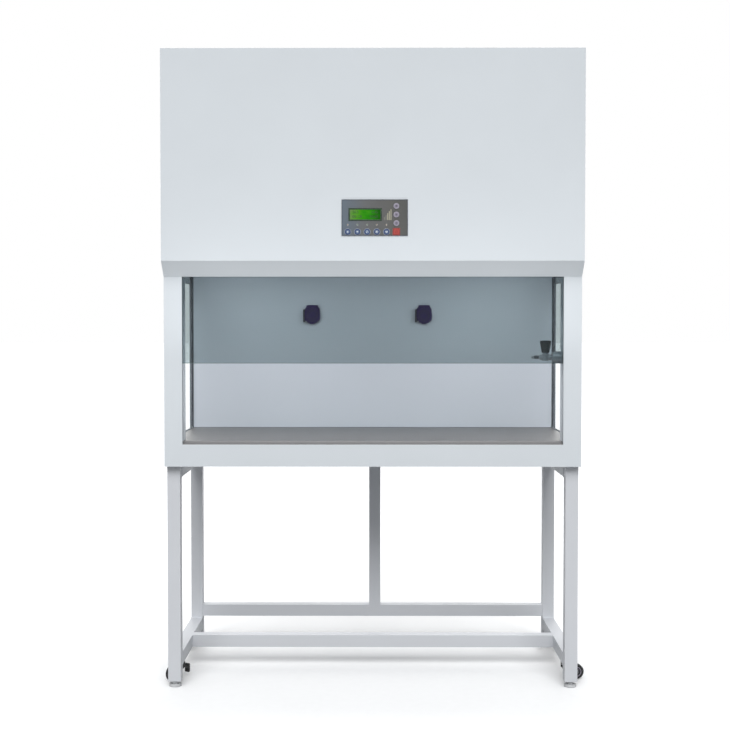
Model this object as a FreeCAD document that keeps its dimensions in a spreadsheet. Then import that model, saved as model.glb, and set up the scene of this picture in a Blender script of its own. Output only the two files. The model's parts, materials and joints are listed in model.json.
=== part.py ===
import FreeCAD, Part
import math
import os
import re

import Sketcher

# Laminar flow cabinet: a glass-sided clean-air chamber under a blower hood, on a castor stand.
# Frame: X to the right, Y to the back, Z up, origin on the floor under the middle of the cabinet.

# Driving sizes, in millimetres and degrees.
SIZES = (
    ("cabinet_width", 1300),
    ("cabinet_depth", 650),
    ("cabinet_height", 1990),
    ("sheet", 1.5),
    ("hood_height", 648),
    ("bevel_setback", 47),
    ("bevel_height", 47),
    ("hood_seam", 3),
    ("top_flange", 15),
    ("bearer_width", 75),
    ("bearer_setback", 78),
    ("stand_height", 703),
    ("beam_height", 69),
    ("beam_flange", 38),
    ("beam_lip", 17),
    ("post_width", 56.5),
    ("post_depth", 68),
    ("guide_lip", 20),
    ("return_duct", 58),
    ("side_inset", 12),
    ("side_glass_wall", 5),
    ("glazing_lip", 8),
    ("side_flange", 30),
    ("wall_flange", 22),
    ("worktop_rise", 10),
    ("worktop_setback", 16),
    ("screen_depth", 11.5),
    ("fit_gap", 0.5),
    ("sash_wall", 5),
    ("sash_play", 1),
    ("sash_overlap", 293.3),
    ("sash_opening", 253.3),
    ("sash_side_play", 3.5),
    ("guide_wall", 2),
    ("guide_depth", 18.5),
    ("guide_drop", 126),
    ("guide_slot_rise", 12.5),
    ("clamp_length", 50),
    ("clamp_cheek", 2.9),
    ("clamp_grip", 25),
    ("clamp_arm_height", 14),
    ("cable_inset", 22),
    ("cable_diameter", 2),
    ("pulley_radius", 20),
    ("pulley_flange", 2),
    ("pulley_width", 8),
    ("shaft_diameter", 12),
    ("shaft_end_gap", 1.5),
    ("shaft_drop", 90),
    ("bearing_play", 0.05),
    ("bracket_side", 50),
    ("bracket_plate", 3),
    ("bracket_boss", 24),
    ("weight_side", 36),
    ("weight_length", 340),
    ("weight_drop", 560),
    ("weight_chamfer", 2),
    ("filter_rise", 36),
    ("filter_height", 70),
    ("filter_side_inset", 60),
    ("filter_front", 120),
    ("filter_back", 63),
    ("filter_wall", 15),
    ("filter_recess", 6),
    ("pleat_pitch", 29),
    ("pleat_depth", 12),
    ("plenum_height", 194),
    ("screen_border", 26),
    ("screen_margin", 60),
    ("screen_slot_width", 8),
    ("screen_slot_count", 25),
    ("blower_back", 40),
    ("blower_rise", 170),
    ("blower_width", 224),
    ("scroll_radius", 135),
    ("scroll_growth", 14),
    ("inlet_radius", 95),
    ("spider_bar", 20),
    ("spider_wall", 3),
    ("axle_diameter", 16),
    ("impeller_radius", 120),
    ("impeller_width", 200),
    ("blade_depth", 20),
    ("blade_wall", 2),
    ("blade_curve", 22),
    ("blade_count", 24),
    ("impeller_ring", 4),
    ("motor_radius", 48),
    ("motor_width", 110),
    ("grille_width", 900),
    ("grille_depth", 300),
    ("grille_front", 175),
    ("grille_border", 15),
    ("grille_slot_width", 12),
    ("grille_slot_pitch", 36),
    ("grille_slot_count", 24),
    ("grille_wall", 2),
    ("prefilter_height", 20),
    ("lamp_diameter", 16),
    ("lamp_length", 895),
    ("lamp_rise", 14),
    ("lamp_front", 79),
    ("lamp_spacing", 26),
    ("lamp_holder_width", 12),
    ("lamp_holder_side", 20),
    ("lamp_holder_height", 32),
    ("lamp_pin", 8),
    ("lamp_arm", 2),
    ("panel_width", 203),
    ("panel_height", 111),
    ("panel_x", 6),
    ("panel_rise", 131.5),
    ("panel_proud", 2),
    ("panel_depth", 30),
    ("panel_edge", 1.5),
    ("panel_corner", 2),
    ("panel_wall", 1.2),
    ("display_width", 103),
    ("display_height", 40),
    ("display_left", 21),
    ("display_top", 26),
    ("display_wall", 3),
    ("key_diameter", 17.6),
    ("key_gap", 0.3),
    ("key_proud", 2),
    ("key_length", 6),
    ("key_stem", 6),
    ("key_stem_length", 10),
    ("key_row_drop", 99),
    ("key_row_left", 19),
    ("key_row_pitch", 29.7),
    ("key_column_right", 35),
    ("key_column_top", 20),
    ("key_column_pitch", 26.2),
    ("power_key_side", 18),
    ("power_key_corner", 4.5),
    ("socket_left_x", -213.5),
    ("socket_right_x", 182.5),
    ("socket_drop", 109),
    ("socket_width", 54),
    ("socket_height", 58),
    ("socket_corner", 14),
    ("socket_wall", 6),
    ("socket_well", 44),
    ("socket_barrel", 50),
    ("socket_barrel_depth", 32),
    ("hinge_pin", 4),
    ("hinge_rise", 5),
    ("hinge_width", 30),
    ("hinge_span", 40),
    ("hinge_radius", 4.5),
    ("lid_diameter", 56),
    ("lid_height", 12),
    ("lid_chamfer", 4),
    ("tap_rise", 262),
    ("tap_back", 41),
    ("tap_boss", 38),
    ("tap_boss_length", 30),
    ("tap_collar", 10),
    ("tap_body_diameter", 17),
    ("tap_body_end", 68.5),
    ("tap_nozzle_diameter", 9),
    ("tap_nozzle_end", 94.5),
    ("tap_stem_reach", 50.5),
    ("tap_stem_diameter", 12),
    ("tap_bonnet_diameter", 22),
    ("tap_shank", 14),
    ("tap_shank_play", 0.6),
    ("tap_shank_end", 9.5),
    ("tap_nut", 26),
    ("tap_nut_wall", 5),
    ("knob_gap", 3),
    ("knob_height", 38),
    ("knob_bottom", 24),
    ("knob_top", 34.5),
    ("knob_taper", 30.4),
    ("knob_blind", 19),
    ("knob_flute", 5),
    ("knob_flute_count", 6),
    ("inlet_x", -500),
    ("inlet_rise", 138),
    ("inlet_width", 50),
    ("inlet_height", 28),
    ("inlet_flange", 7),
    ("inlet_wall", 3),
    ("inlet_depth", 24),
    ("inlet_well", 17),
    ("tube", 40),
    ("tube_wall", 2),
    ("stand_inset", 4),
    ("leg_bottom", 19),
    ("leg_plate", 5),
    ("front_leg_setback", 26.7),
    ("rear_leg_inset", 28.3),
    ("stretcher_bottom", 63),
    ("rear_rail_bottom", 109.5),
    ("rear_post_x", 8),
    ("mid_rail_y", 25),
    ("foot_diameter", 38),
    ("foot_rim", 8.5),
    ("foot_cone", 9),
    ("foot_neck", 20),
    ("stud_diameter", 12),
    ("stud_top", 60),
    ("lock_nut", 19),
    ("lock_nut_height", 6),
    ("castor_offset", 58),
    ("castor_clear", 2),
    ("castor_trail", 32),
    ("wheel_diameter", 48),
    ("wheel_width", 18),
    ("wheel_chamfer", 2),
    ("fork_gap", 1),
    ("fork_wall", 2.5),
    ("fork_crown", 4),
    ("fork_top_gap", 0.3),
    ("swivel_diameter", 35),
    ("swivel_height", 8),
    ("swivel_pin", 10),
    ("axle_pin", 8),
    ("axle_end", 8),
    ("front_left_turn", 56),
    ("front_right_turn", 186),
    ("rear_left_turn", -6),
    ("rear_right_turn", 172),
    ("pedal_width", 16),
    ("pedal_wall", 3),
    ("pedal_pivot_x", 10),
    ("pedal_pivot_z", 46),
    ("pedal_pin", 4),
    ("pedal_reach", 42),
    ("pedal_drop", 22),
    ("toe_gap", 1.2),
    ("toe_back", 4),
    ("toe_rise", 6),
    ("toe_throat", 6),
)

# Places that follow from the sizes.
PLACES = (
    ("half_width", "cabinet_width / 2"),
    ("hood_front", "-cabinet_depth / 2"),
    ("back", "cabinet_depth / 2"),
    ("body_front", "hood_front + bevel_setback"),
    ("fold_z", "cabinet_height - hood_height"),
    ("bevel_bottom", "fold_z - bevel_height"),
    ("bevel_turn", "atan(bevel_setback / bevel_height)"),
    ("bevel_end_y", "body_front + sheet * cos(bevel_turn)"),
    ("bevel_end_z", "bevel_bottom + sheet * sin(bevel_turn)"),
    ("fold_inner_z", "fold_z + sheet * tan(bevel_turn / 2)"),
    ("skin_front", "hood_front + sheet"),
    ("skin_top", "cabinet_height - sheet"),
    ("skin_back", "back - sheet"),
    ("skin_side", "half_width - sheet"),
    ("body_top", "bevel_bottom - hood_seam"),
    ("body_bottom", "stand_height"),
    ("pan_top", "body_bottom + sheet"),
    ("beam_top", "body_bottom + beam_height"),
    ("post_inner", "half_width - post_width"),
    ("post_back", "body_front + post_depth"),
    ("wall_front", "back - return_duct"),
    ("chamber_half", "half_width - side_inset"),
    ("side_glass_outer", "chamber_half + side_glass_wall"),
    ("lip_top", "beam_top + glazing_lip"),
    ("flange_inner", "half_width - side_flange"),
    ("worktop_top", "beam_top + worktop_rise"),
    ("worktop_front", "body_front + worktop_setback"),
    ("worktop_half", "chamber_half - sheet - fit_gap"),
    ("worktop_back", "wall_front - fit_gap"),
    ("filter_bottom", "body_top + filter_rise"),
    ("bearer_bottom", "filter_bottom - sheet"),
    ("ceiling", "bearer_bottom - screen_depth"),
    ("bearer_front", "body_front + bearer_setback"),
    ("bearer_inner", "half_width - bearer_width"),
    ("guide_front", "body_front + sheet"),
    ("guide_back", "guide_front + 2 * guide_wall + 2 * sash_play + sash_wall"),
    ("sash_front", "guide_front + guide_wall + sash_play"),
    ("sash_back", "sash_front + sash_wall"),
    ("sash_y", "sash_front + sash_wall / 2"),
    ("guide_outer", "post_inner + guide_depth"),
    ("guide_web", "guide_outer - guide_wall"),
    ("guide_top", "cabinet_height - guide_drop"),
    ("guide_slot_bottom", "body_top + guide_slot_rise"),
    ("guide_slot_top", "guide_top - guide_wall"),
    ("sash_half", "guide_web - sash_side_play"),
    ("sash_bottom", "beam_top + sash_opening"),
    ("sash_top", "body_top + sash_overlap"),
    ("clamp_end", "post_inner - guide_depth / 4"),
    ("clamp_start", "clamp_end - clamp_length"),
    ("clamp_top", "sash_top + clamp_arm_height"),
    ("cable_x", "half_width - cable_inset"),
    ("shaft_y", "sash_y + pulley_radius"),
    ("shaft_z", "cabinet_height - shaft_drop"),
    ("weight_y", "shaft_y + pulley_radius"),
    ("weight_top", "shaft_z - weight_drop"),
    ("groove_floor", "pulley_radius - cable_diameter / 2 - 2 * bearing_play"),
    ("groove_half", "cable_diameter / 2 + 2 * bearing_play"),
    ("pulley_rim", "pulley_radius + pulley_flange"),
    ("filter_half", "half_width - filter_side_inset"),
    ("filter_front_y", "hood_front + filter_front"),
    ("filter_back_y", "back - filter_back"),
    ("filter_top", "filter_bottom + filter_height"),
    ("screen_slot_pitch", "2 * (worktop_half - screen_margin) / (screen_slot_count - 1)"),
    ("plenum_top", "filter_top + plenum_height"),
    ("blower_z", "plenum_top + blower_rise"),
    ("blower_half", "blower_width / 2"),
    ("scroll_right_y", "blower_back + scroll_growth / 2"),
    ("scroll_left_y", "blower_back - scroll_growth / 2"),
    ("scroll_high_z", "blower_z + scroll_growth / 2"),
    ("scroll_low_z", "blower_z - scroll_growth / 2"),
    ("outlet_front", "scroll_left_y - scroll_radius - 2 * scroll_growth"),
    ("impeller_inner", "impeller_radius - blade_depth"),
    ("grille_half", "grille_width / 2"),
    ("grille_front_y", "hood_front + grille_front"),
    ("grille_back_y", "grille_front_y + grille_depth"),
    ("grille_bottom", "skin_top - grille_wall"),
    ("lamp_y", "hood_front + lamp_front"),
    ("uv_y", "lamp_y + lamp_spacing"),
    ("lamp_z", "filter_bottom + lamp_rise"),
    ("panel_z", "fold_z + panel_rise"),
    ("panel_left", "panel_x - panel_width / 2"),
    ("panel_top", "panel_z + panel_height / 2"),
    ("panel_front", "hood_front - panel_proud"),
    ("display_x", "panel_left + display_left + display_width / 2"),
    ("display_z", "panel_top - display_top - display_height / 2"),
    ("key_front", "panel_front - key_proud"),
    ("key_row_z", "panel_top - key_row_drop"),
    ("key_column_x", "panel_left + panel_width - key_column_right"),
    ("socket_z", "body_top - socket_drop"),
    ("hinge_y", "wall_front - socket_wall - hinge_radius - fit_gap"),
    ("hinge_z", "socket_z + socket_height / 2 + hinge_rise - hinge_radius"),
    ("tap_y", "body_front + tap_back"),
    ("tap_z", "worktop_top + tap_rise"),
    ("tap_stem_x", "post_inner - tap_stem_reach"),
    ("knob_z", "tap_z + tap_bonnet_diameter / 2 + knob_gap"),
    ("stem_bore", "tap_stem_diameter / 2 + bearing_play"),
    ("inlet_z", "fold_z + inlet_rise"),
    ("stand_half", "half_width - stand_inset"),
    ("leg_inner", "stand_half - tube"),
    ("leg_x", "stand_half - tube / 2"),
    ("front_leg_front", "body_front + front_leg_setback"),
    ("front_leg_back", "front_leg_front + tube"),
    ("rear_leg_back", "back - rear_leg_inset"),
    ("rear_leg_front", "rear_leg_back - tube"),
    ("leg_plate_top", "leg_bottom + leg_plate"),
    ("stretcher_top", "stretcher_bottom + tube"),
    ("rear_rail_top", "rear_rail_bottom + tube"),
    ("top_rail_bottom", "stand_height - tube"),
    ("front_castor_y", "front_leg_back + castor_offset"),
    ("rear_castor_y", "rear_leg_front - castor_offset"),
    ("wheel_radius", "wheel_diameter / 2"),
    ("wheel_z", "castor_clear + wheel_radius"),
    ("fork_half", "wheel_width / 2 + fork_gap + fork_wall"),
    ("fork_inside", "wheel_width / 2 + fork_gap"),
    ("swivel_top", "stretcher_bottom - fork_top_gap"),
    ("swivel_bottom", "swivel_top - swivel_height"),
    ("crown_bottom", "swivel_bottom - fork_crown"),
    ("pedal_end_z", "castor_clear + pedal_drop"),
)

FULL_NAMES = {name: "Sizes." + name for name, _ in SIZES}
FULL_NAMES.update({name: "Places." + name for name, _ in PLACES})

doc = FreeCAD.newDocument("laminar_flow_cabinet")


def rule(text):
    """Expression with every size and place given its full reference."""
    return re.sub(r"[a-z_]+", lambda word: FULL_NAMES.get(word[0], word[0]), text)


def fill_sheet(label, rows, content):
    """Spreadsheet of named cells, one to a row."""
    sheet = doc.addObject("Spreadsheet::Sheet", label)
    for row, (name, entry) in enumerate(rows, start=1):
        sheet.set("A%d" % row, name)
        sheet.set("B%d" % row, content(entry))
        sheet.setAlias("B%d" % row, name)
    return sheet


sizes = fill_sheet("Sizes", SIZES, str)
fill_sheet("Places", PLACES, lambda formula: "=" + rule(formula))
doc.recompute()


def value(text):
    """Number that a rule gives now."""
    number = sizes.evalExpression(rule(str(text)))
    return float(getattr(number, "Value", number))


def bind(thing, rules):
    """Tie properties to the sheets."""
    for target, text in rules.items():
        thing.setExpression(target, rule(text))
    return thing


def minus(text):
    """The same rule with its sign turned."""
    return "-(%s)" % text


# Solids from primitives.


def block(name, x, y, z):
    """Box between two places along each axis."""
    box = doc.addObject("Part::Box", name)
    for side, axis, (low, high) in zip(("Length", "Width", "Height"), "xyz", (x, y, z)):
        bind(box, {side: "(%s) - (%s)" % (high, low), "Placement.Base." + axis: low})
    return box


TURNS = {
    "x": FreeCAD.Rotation(FreeCAD.Vector(0, 1, 0), 90),
    "y": FreeCAD.Rotation(FreeCAD.Vector(1, 0, 0), -90),
    "z": FreeCAD.Rotation(),
}


def rod(name, axis, diameter, start, length):
    """Round bar from a start point along X, Y or Z."""
    bar = doc.addObject("Part::Cylinder", name)
    bar.Placement.Rotation = TURNS[axis]
    bind(bar, {"Radius": "(%s) / 2" % diameter, "Height": length})
    return place(bar, start)


def place(thing, at):
    """Bind the position of an object."""
    for axis, text in zip("xyz", at):
        bind(thing, {"Placement.Base." + axis: text})
    return thing


def cut(name, base, *tools):
    """Base with the tools taken away."""
    result = doc.addObject("Part::Cut", name)
    result.Base = base
    result.Tool = tools[0] if len(tools) == 1 else fuse(name + "_tools", *tools)
    return result


def fuse(name, *pieces):
    """Pieces welded into one solid."""
    result = doc.addObject("Part::MultiFuse", name)
    result.Shapes = list(pieces)
    return result


def group(name, *pieces):
    """Separate solids kept in one node."""
    result = doc.addObject("Part::Compound", name)
    result.Links = list(pieces)
    return result


def mirror(name, source):
    """Copy on the other side of the middle plane."""
    result = doc.addObject("Part::Mirroring", name)
    result.Source = source
    result.Normal = FreeCAD.Vector(1, 0, 0)
    return result


def tube(name, x, y, z, along):
    """Square hollow section, open at both ends of the axis it runs along."""
    spans = []
    for axis, (low, high) in zip("xyz", (x, y, z)):
        wall = "" if axis == along else "tube_wall"
        spans.append((low + " + " + wall, high + " - " + wall) if wall else (low, high))
    return cut(name, block(name + "_outside", x, y, z), block(name + "_inside", *spans))


# Solids from sketches.


def body(name):
    """Empty body."""
    return doc.addObject("PartDesign::Body", name)


def sketch(owner, plane, name, offset=None):
    """Sketch on an origin plane of its body, moved along the plane's normal by a rule."""
    result = owner.newObject("Sketcher::SketchObject", name)
    support = [part for part in owner.Origin.OriginFeatures if part.Role == plane + "_Plane"]
    result.AttachmentSupport = [(support[0], "")]
    result.MapMode = "FlatFace"
    if offset:
        bind(result, {"AttachmentOffset.Base.z": offset})
    return result


def outline(page, corners):
    """Closed outline through bound corners; a third entry is the radius of the arc that follows."""
    first = page.GeometryCount
    places = [FreeCAD.Vector(value(corner[0]), value(corner[1]), 0) for corner in corners]
    count = len(corners)
    starts = []
    for index, corner in enumerate(corners):
        here = places[index]
        there = places[(index + 1) % count]
        if len(corner) == 2:
            page.addGeometry(Part.LineSegment(here, there))
            starts.append((1, 2))
        else:
            page.addGeometry(arc_between(here, there, corner[2]))
            starts.append((2, 1) if corner[2].startswith("-") else (1, 2))
    for index in range(count):
        after = (index + 1) % count
        ends = (first + index, starts[index][1], first + after, starts[after][0])
        page.addConstraint(Sketcher.Constraint("Coincident", *ends))
    for index, corner in enumerate(corners):
        pin(page, first + index, starts[index][0], corner[0], corner[1])
        if len(corner) == 3:
            bound(page, "Radius", (first + index,), corner[2].lstrip("-"))


def arc_between(here, there, radius):
    """Arc shorter than a half turn: to the left of its chord, or to the right with a minus sign."""
    size = value(radius.lstrip("-"))
    clockwise = radius.startswith("-")
    start, end = (there, here) if clockwise else (here, there)
    chord = end - start
    rise = math.sqrt(max(size ** 2 - (chord.Length / 2) ** 2, 0))
    normal = FreeCAD.Vector(-chord.y, chord.x, 0).normalize()
    centre = (start + end) / 2 + normal * rise
    angles = [math.atan2(point.y - centre.y, point.x - centre.x) for point in (start, end)]
    circle = Part.Circle(centre, FreeCAD.Vector(0, 0, 1), size)
    return Part.ArcOfCircle(circle, angles[0], angles[1])


def bound(page, kind, ends, text):
    """Add a constraint whose value is a rule."""
    index = page.addConstraint(Sketcher.Constraint(kind, *ends, value(text)))
    bind(page, {"Constraints[%d]" % index: text})


def pin(page, geometry, point, u, v):
    """Hold one point of a sketch at a place measured from its origin."""
    bound(page, "DistanceX", (-1, 1, geometry, point), u)
    bound(page, "DistanceY", (-1, 1, geometry, point), v)


def circle(page, u, v, diameter):
    """Circle with a bound centre and diameter."""
    centre = FreeCAD.Vector(value(u), value(v), 0)
    shape = Part.Circle(centre, FreeCAD.Vector(0, 0, 1), value(diameter) / 2)
    index = page.addGeometry(shape)
    pin(page, index, 3, u, v)
    bound(page, "Diameter", (index,), diameter)


def rectangle(left, right, bottom, top):
    """Corners of an upright rectangle."""
    return [(left, bottom), (right, bottom), (right, top), (left, top)]


def rounded(u, v, width, height, radius):
    """Corners of a rectangle about a middle point, with its corners rounded."""
    left, right = ("%s - (%s) / 2" % (u, width), "%s + (%s) / 2" % (u, width))
    low, high = ("%s - (%s) / 2" % (v, height), "%s + (%s) / 2" % (v, height))
    inward = " + " + radius
    outward = " - " + radius
    return [
        (left + inward, low), (right + outward, low, radius),
        (right, low + inward), (right, high + outward, radius),
        (right + outward, high), (left + inward, high, radius),
        (left, high + outward), (left, low + inward, radius),
    ]


def pad(owner, page, length, midplane=False, reverse=False):
    """Raise a sketch into a solid."""
    feature = owner.newObject("PartDesign::Pad", page.Name + "_pad")
    feature.Profile = page
    feature.Midplane = midplane
    feature.Reversed = reverse
    return bind(feature, {"Length": length})


def pocket(owner, page, length=None, midplane=False, reverse=False):
    """Sink a sketch into the solid, right through where no depth is given."""
    feature = owner.newObject("PartDesign::Pocket", page.Name + "_pocket")
    feature.Profile = page
    feature.Midplane = midplane
    feature.Reversed = reverse
    if length is None:
        feature.Type = "ThroughAll"
        return feature
    return bind(feature, {"Length": length})


def turned(name, profile, owner=None):
    """Solid of revolution about its own Z axis from (radius, height) corners."""
    owner = owner or body(name)
    page = sketch(owner, "XZ", name + "_profile")
    outline(page, profile)
    feature = owner.newObject("PartDesign::Revolution", name + "_turn")
    feature.Profile = page
    feature.ReferenceAxis = (page, ["V_Axis"])
    feature.Angle = 360
    return owner


def prism(name, plane, corners, low, high, holes=()):
    """Straight length of a section, between two places along its plane's normal."""
    owner = body(name)
    page = sketch(owner, plane, name + "_section")
    outline(page, corners)
    for hole in holes:
        outline(page, hole)
    pad(owner, page, "(%s) - (%s)" % (high, low), reverse=plane == "XZ")
    axis = {"YZ": "x", "XZ": "y", "XY": "z"}[plane]
    return bind(owner, {"Placement.Base." + axis: low})


def repeat(owner, feature, direction, length, count):
    """Straight row of copies of a feature."""
    row = owner.newObject("PartDesign::LinearPattern", feature.Name + "_row")
    row.Originals = [feature]
    row.Direction = direction
    bind(row, {"Length": length, "Occurrences": count})
    owner.Tip = row
    return row


def ring_of(owner, feature, axis, count):
    """Copies of a feature spread evenly round an axis."""
    ring = owner.newObject("PartDesign::PolarPattern", feature.Name + "_ring")
    ring.Originals = [feature]
    ring.Axis = axis
    ring.Angle = 360
    bind(ring, {"Occurrences": count})
    owner.Tip = ring
    return ring


def chamfer(owner, size, wanted):
    """Chamfer on every edge of the body's tip that passes a test."""
    doc.recompute()
    base = owner.Tip
    edges = [
        "Edge%d" % number
        for number, edge in enumerate(base.Shape.Edges, start=1)
        if wanted(edge)
    ]
    feature = owner.newObject("PartDesign::Chamfer", owner.Name + "_chamfer")
    feature.Base = (base, edges)
    return bind(feature, {"Size": size})


def is_circle(radius):
    """Test for a circular edge of about one radius."""
    def test(edge):
        return isinstance(edge.Curve, Part.Circle) and abs(edge.Curve.Radius - radius) < 0.01
    return test


nodes = {}


def keep(name, thing):
    """Make a finished piece a node of its own."""
    thing.Label = name
    nodes[name] = thing
    return thing


# Stand: square tube, welded.


def side_frame():
    """Two legs, top rail and stretcher of the right side, with castor pins and foot plates."""
    across = ("leg_inner", "stand_half")
    between = ("front_leg_back", "rear_leg_front")
    pieces = [
        tube("side_rail", across, between, ("top_rail_bottom", "stand_height"), "y"),
        tube("side_stretcher", across, between, ("stretcher_bottom", "stretcher_top"), "y"),
    ]
    for end, span in (
        ("front", ("front_leg_front", "front_leg_back")),
        ("rear", ("rear_leg_front", "rear_leg_back")),
    ):
        middle = "(%s + %s) / 2" % span
        pieces.append(tube(end + "_leg", across, span, ("leg_bottom", "stand_height"), "z"))
        plate = block(end + "_foot_plate", across, span, ("leg_bottom", "leg_plate_top"))
        hole = rod(
            end + "_stud_hole", "z", "stud_diameter + 2 * bearing_play",
            ("leg_x", middle, "0"), "leg_plate_top + leg_plate",
        )
        pieces.append(cut(end + "_foot_nut", plate, hole))
        pieces.append(rod(
            end + "_castor_pin", "z", "swivel_pin",
            ("leg_x", end + "_castor_y", "crown_bottom + bearing_play"),
            "stretcher_bottom + tube_wall - crown_bottom - bearing_play",
        ))
    return fuse("right_side_frame", *pieces)


right_frame = keep("stand_right_frame", side_frame())
keep("stand_left_frame", mirror("left_side_frame", right_frame))


def rear_frame():
    """Upper rail, lower rail and centre post between the rear legs."""
    across = ("-leg_inner", "leg_inner")
    deep = ("rear_leg_front", "rear_leg_back")
    post = ("rear_post_x - tube / 2", "rear_post_x + tube / 2")
    return fuse(
        "rear_frame",
        tube("rear_top_rail", across, deep, ("top_rail_bottom", "stand_height"), "x"),
        tube("rear_low_rail", across, deep, ("rear_rail_bottom", "rear_rail_top"), "x"),
        tube("rear_centre_post", post, deep, ("rear_rail_top", "top_rail_bottom"), "z"),
    )


keep("stand_rear_frame", rear_frame())
keep("stand_mid_rail", tube(
    "mid_rail", ("-leg_inner", "leg_inner"),
    ("mid_rail_y - tube / 2", "mid_rail_y + tube / 2"),
    ("stretcher_bottom", "stretcher_top"), "x",
))


# Levelling feet: pad, stud and lock nut.

LEGS = (
    ("front_left", "-leg_x", "front_leg_front + tube / 2", "front"),
    ("front_right", "leg_x", "front_leg_front + tube / 2", "front"),
    ("rear_left", "-leg_x", "rear_leg_front + tube / 2", "rear"),
    ("rear_right", "leg_x", "rear_leg_front + tube / 2", "rear"),
)


def hexagon(across_flats):
    """Corners of a regular hexagon about the origin."""
    reach = "%s / sqrt(3)" % across_flats
    half = "%s / 2" % across_flats
    return [
        (reach, "0"), (reach + " / 2", half), (minus(reach + " / 2"), half),
        (minus(reach), "0"), (minus(reach + " / 2"), minus(half)), (reach + " / 2", minus(half)),
    ]


def foot(name):
    """Levelling foot with its lock nut part way up the stud."""
    owner = turned(name, [
        ("0", "0"), ("foot_diameter / 2", "0"), ("foot_diameter / 2", "foot_rim"),
        ("foot_neck / 2", "foot_cone"), ("stud_diameter / 2", "foot_cone"),
        ("stud_diameter / 2", "stud_top"), ("0", "stud_top"),
    ])
    page = sketch(owner, "XY", name + "_nut", "foot_cone")
    outline(page, hexagon("lock_nut"))
    pad(owner, page, "lock_nut_height")
    return owner


for leg, leg_x, leg_y, end in LEGS:
    keep("foot_" + leg, place(foot("foot_" + leg), (leg_x, leg_y, "0")))


# Castors: swivel fork, wheel and, on two of them, a brake pedal.


def fork(name):
    """Castor fork about its swivel axis, trailing towards minus X."""
    owner = body(name)
    cheeks = sketch(owner, "XZ", name + "_cheeks")
    diagonal = "axle_end * sqrt(0.5)"
    left = "-castor_trail - " + diagonal
    right = "-castor_trail + " + diagonal
    low = "wheel_z - " + diagonal
    high = "wheel_z + " + diagonal
    half = "(swivel_diameter / 2 - fork_wall)"
    outline(cheeks, [
        ("-" + half, "swivel_bottom"), (left, high, "axle_end"), (left, low, "axle_end"),
        (right, low), (half, "pedal_pivot_z - axle_end"), (half, "swivel_bottom"),
    ])
    pad(owner, cheeks, "2 * fork_half", midplane=True)
    space = sketch(owner, "XZ", name + "_space")
    outline(space, rectangle("-2 * castor_trail", "2 * castor_trail", "0", "crown_bottom"))
    pocket(owner, space, "2 * fork_inside", midplane=True)
    head = sketch(owner, "XY", name + "_head", "swivel_bottom")
    circle(head, "0", "0", "swivel_diameter")
    pad(owner, head, "swivel_height")
    bore = sketch(owner, "XY", name + "_bore", "swivel_top")
    circle(bore, "0", "0", "swivel_pin + 2 * bearing_play")
    pocket(owner, bore, "swivel_height + fork_crown")
    axle = sketch(owner, "XZ", name + "_axle")
    circle(axle, "-castor_trail", "wheel_z", "axle_pin")
    pad(owner, axle, "2 * fork_half", midplane=True)
    pivot = sketch(owner, "XZ", name + "_pivot")
    circle(pivot, "pedal_pivot_x", "pedal_pivot_z", "pedal_pin + 2 * bearing_play")
    pocket(owner, pivot, midplane=True)
    return owner


def wheel(name):
    """Castor wheel with its bore."""
    owner = body(name)
    page = sketch(owner, "XZ", name + "_disc")
    circle(page, "-castor_trail", "wheel_z", "wheel_diameter")
    circle(page, "-castor_trail", "wheel_z", "axle_pin + 2 * bearing_play")
    pad(owner, page, "wheel_width", midplane=True)
    chamfer(owner, "wheel_chamfer", is_circle(value("wheel_radius")))
    return owner


def pedal(name):
    """Brake lever on its pivot, with a toe that meets the tread when it is pressed."""
    owner = body(name)
    page = sketch(owner, "XZ", name + "_side")
    outline(page, [
        ("pedal_pivot_x - pedal_pin", "pedal_pivot_z - pedal_pin"),
        ("-castor_trail + wheel_radius + toe_gap", "wheel_z + toe_rise"),
        ("-castor_trail + wheel_radius + toe_back", "wheel_z"),
        ("pedal_pivot_x + pedal_pin", "pedal_pivot_z - toe_throat"),
        ("pedal_reach - pedal_wall", "pedal_end_z"),
        ("pedal_reach", "pedal_end_z + pedal_wall"),
        ("pedal_pivot_x + pedal_pin", "pedal_pivot_z + pedal_pin / 2"),
        ("pedal_pivot_x - pedal_pin", "pedal_pivot_z + pedal_pin / 2"),
    ])
    pad(owner, page, "pedal_width", midplane=True)
    pin_page = sketch(owner, "XZ", name + "_pin")
    circle(pin_page, "pedal_pivot_x", "pedal_pivot_z", "pedal_pin")
    pad(owner, pin_page, "2 * fork_half", midplane=True)
    return owner


def on_swivel(thing, x, y, turn):
    """Put a castor piece on its swivel axis, turned to where it trails."""
    thing.Placement.Rotation = FreeCAD.Rotation(FreeCAD.Vector(0, 0, 1), 1)
    bind(thing, {"Placement.Rotation.Angle": turn})
    return place(thing, (x, y, "0"))


for leg, leg_x, leg_y, end in LEGS:
    spot = (leg_x, end + "_castor_y", leg + "_turn")
    keep("castor_fork_" + leg, on_swivel(fork("fork_" + leg), *spot))
    keep("castor_wheel_" + leg, on_swivel(wheel("wheel_" + leg), *spot))
    if leg in ("front_left", "rear_right"):
        keep("brake_pedal_" + leg, on_swivel(pedal("pedal_" + leg), *spot))


# Chamber frame: folded sheet posts, beams and base pan, welded.


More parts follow.
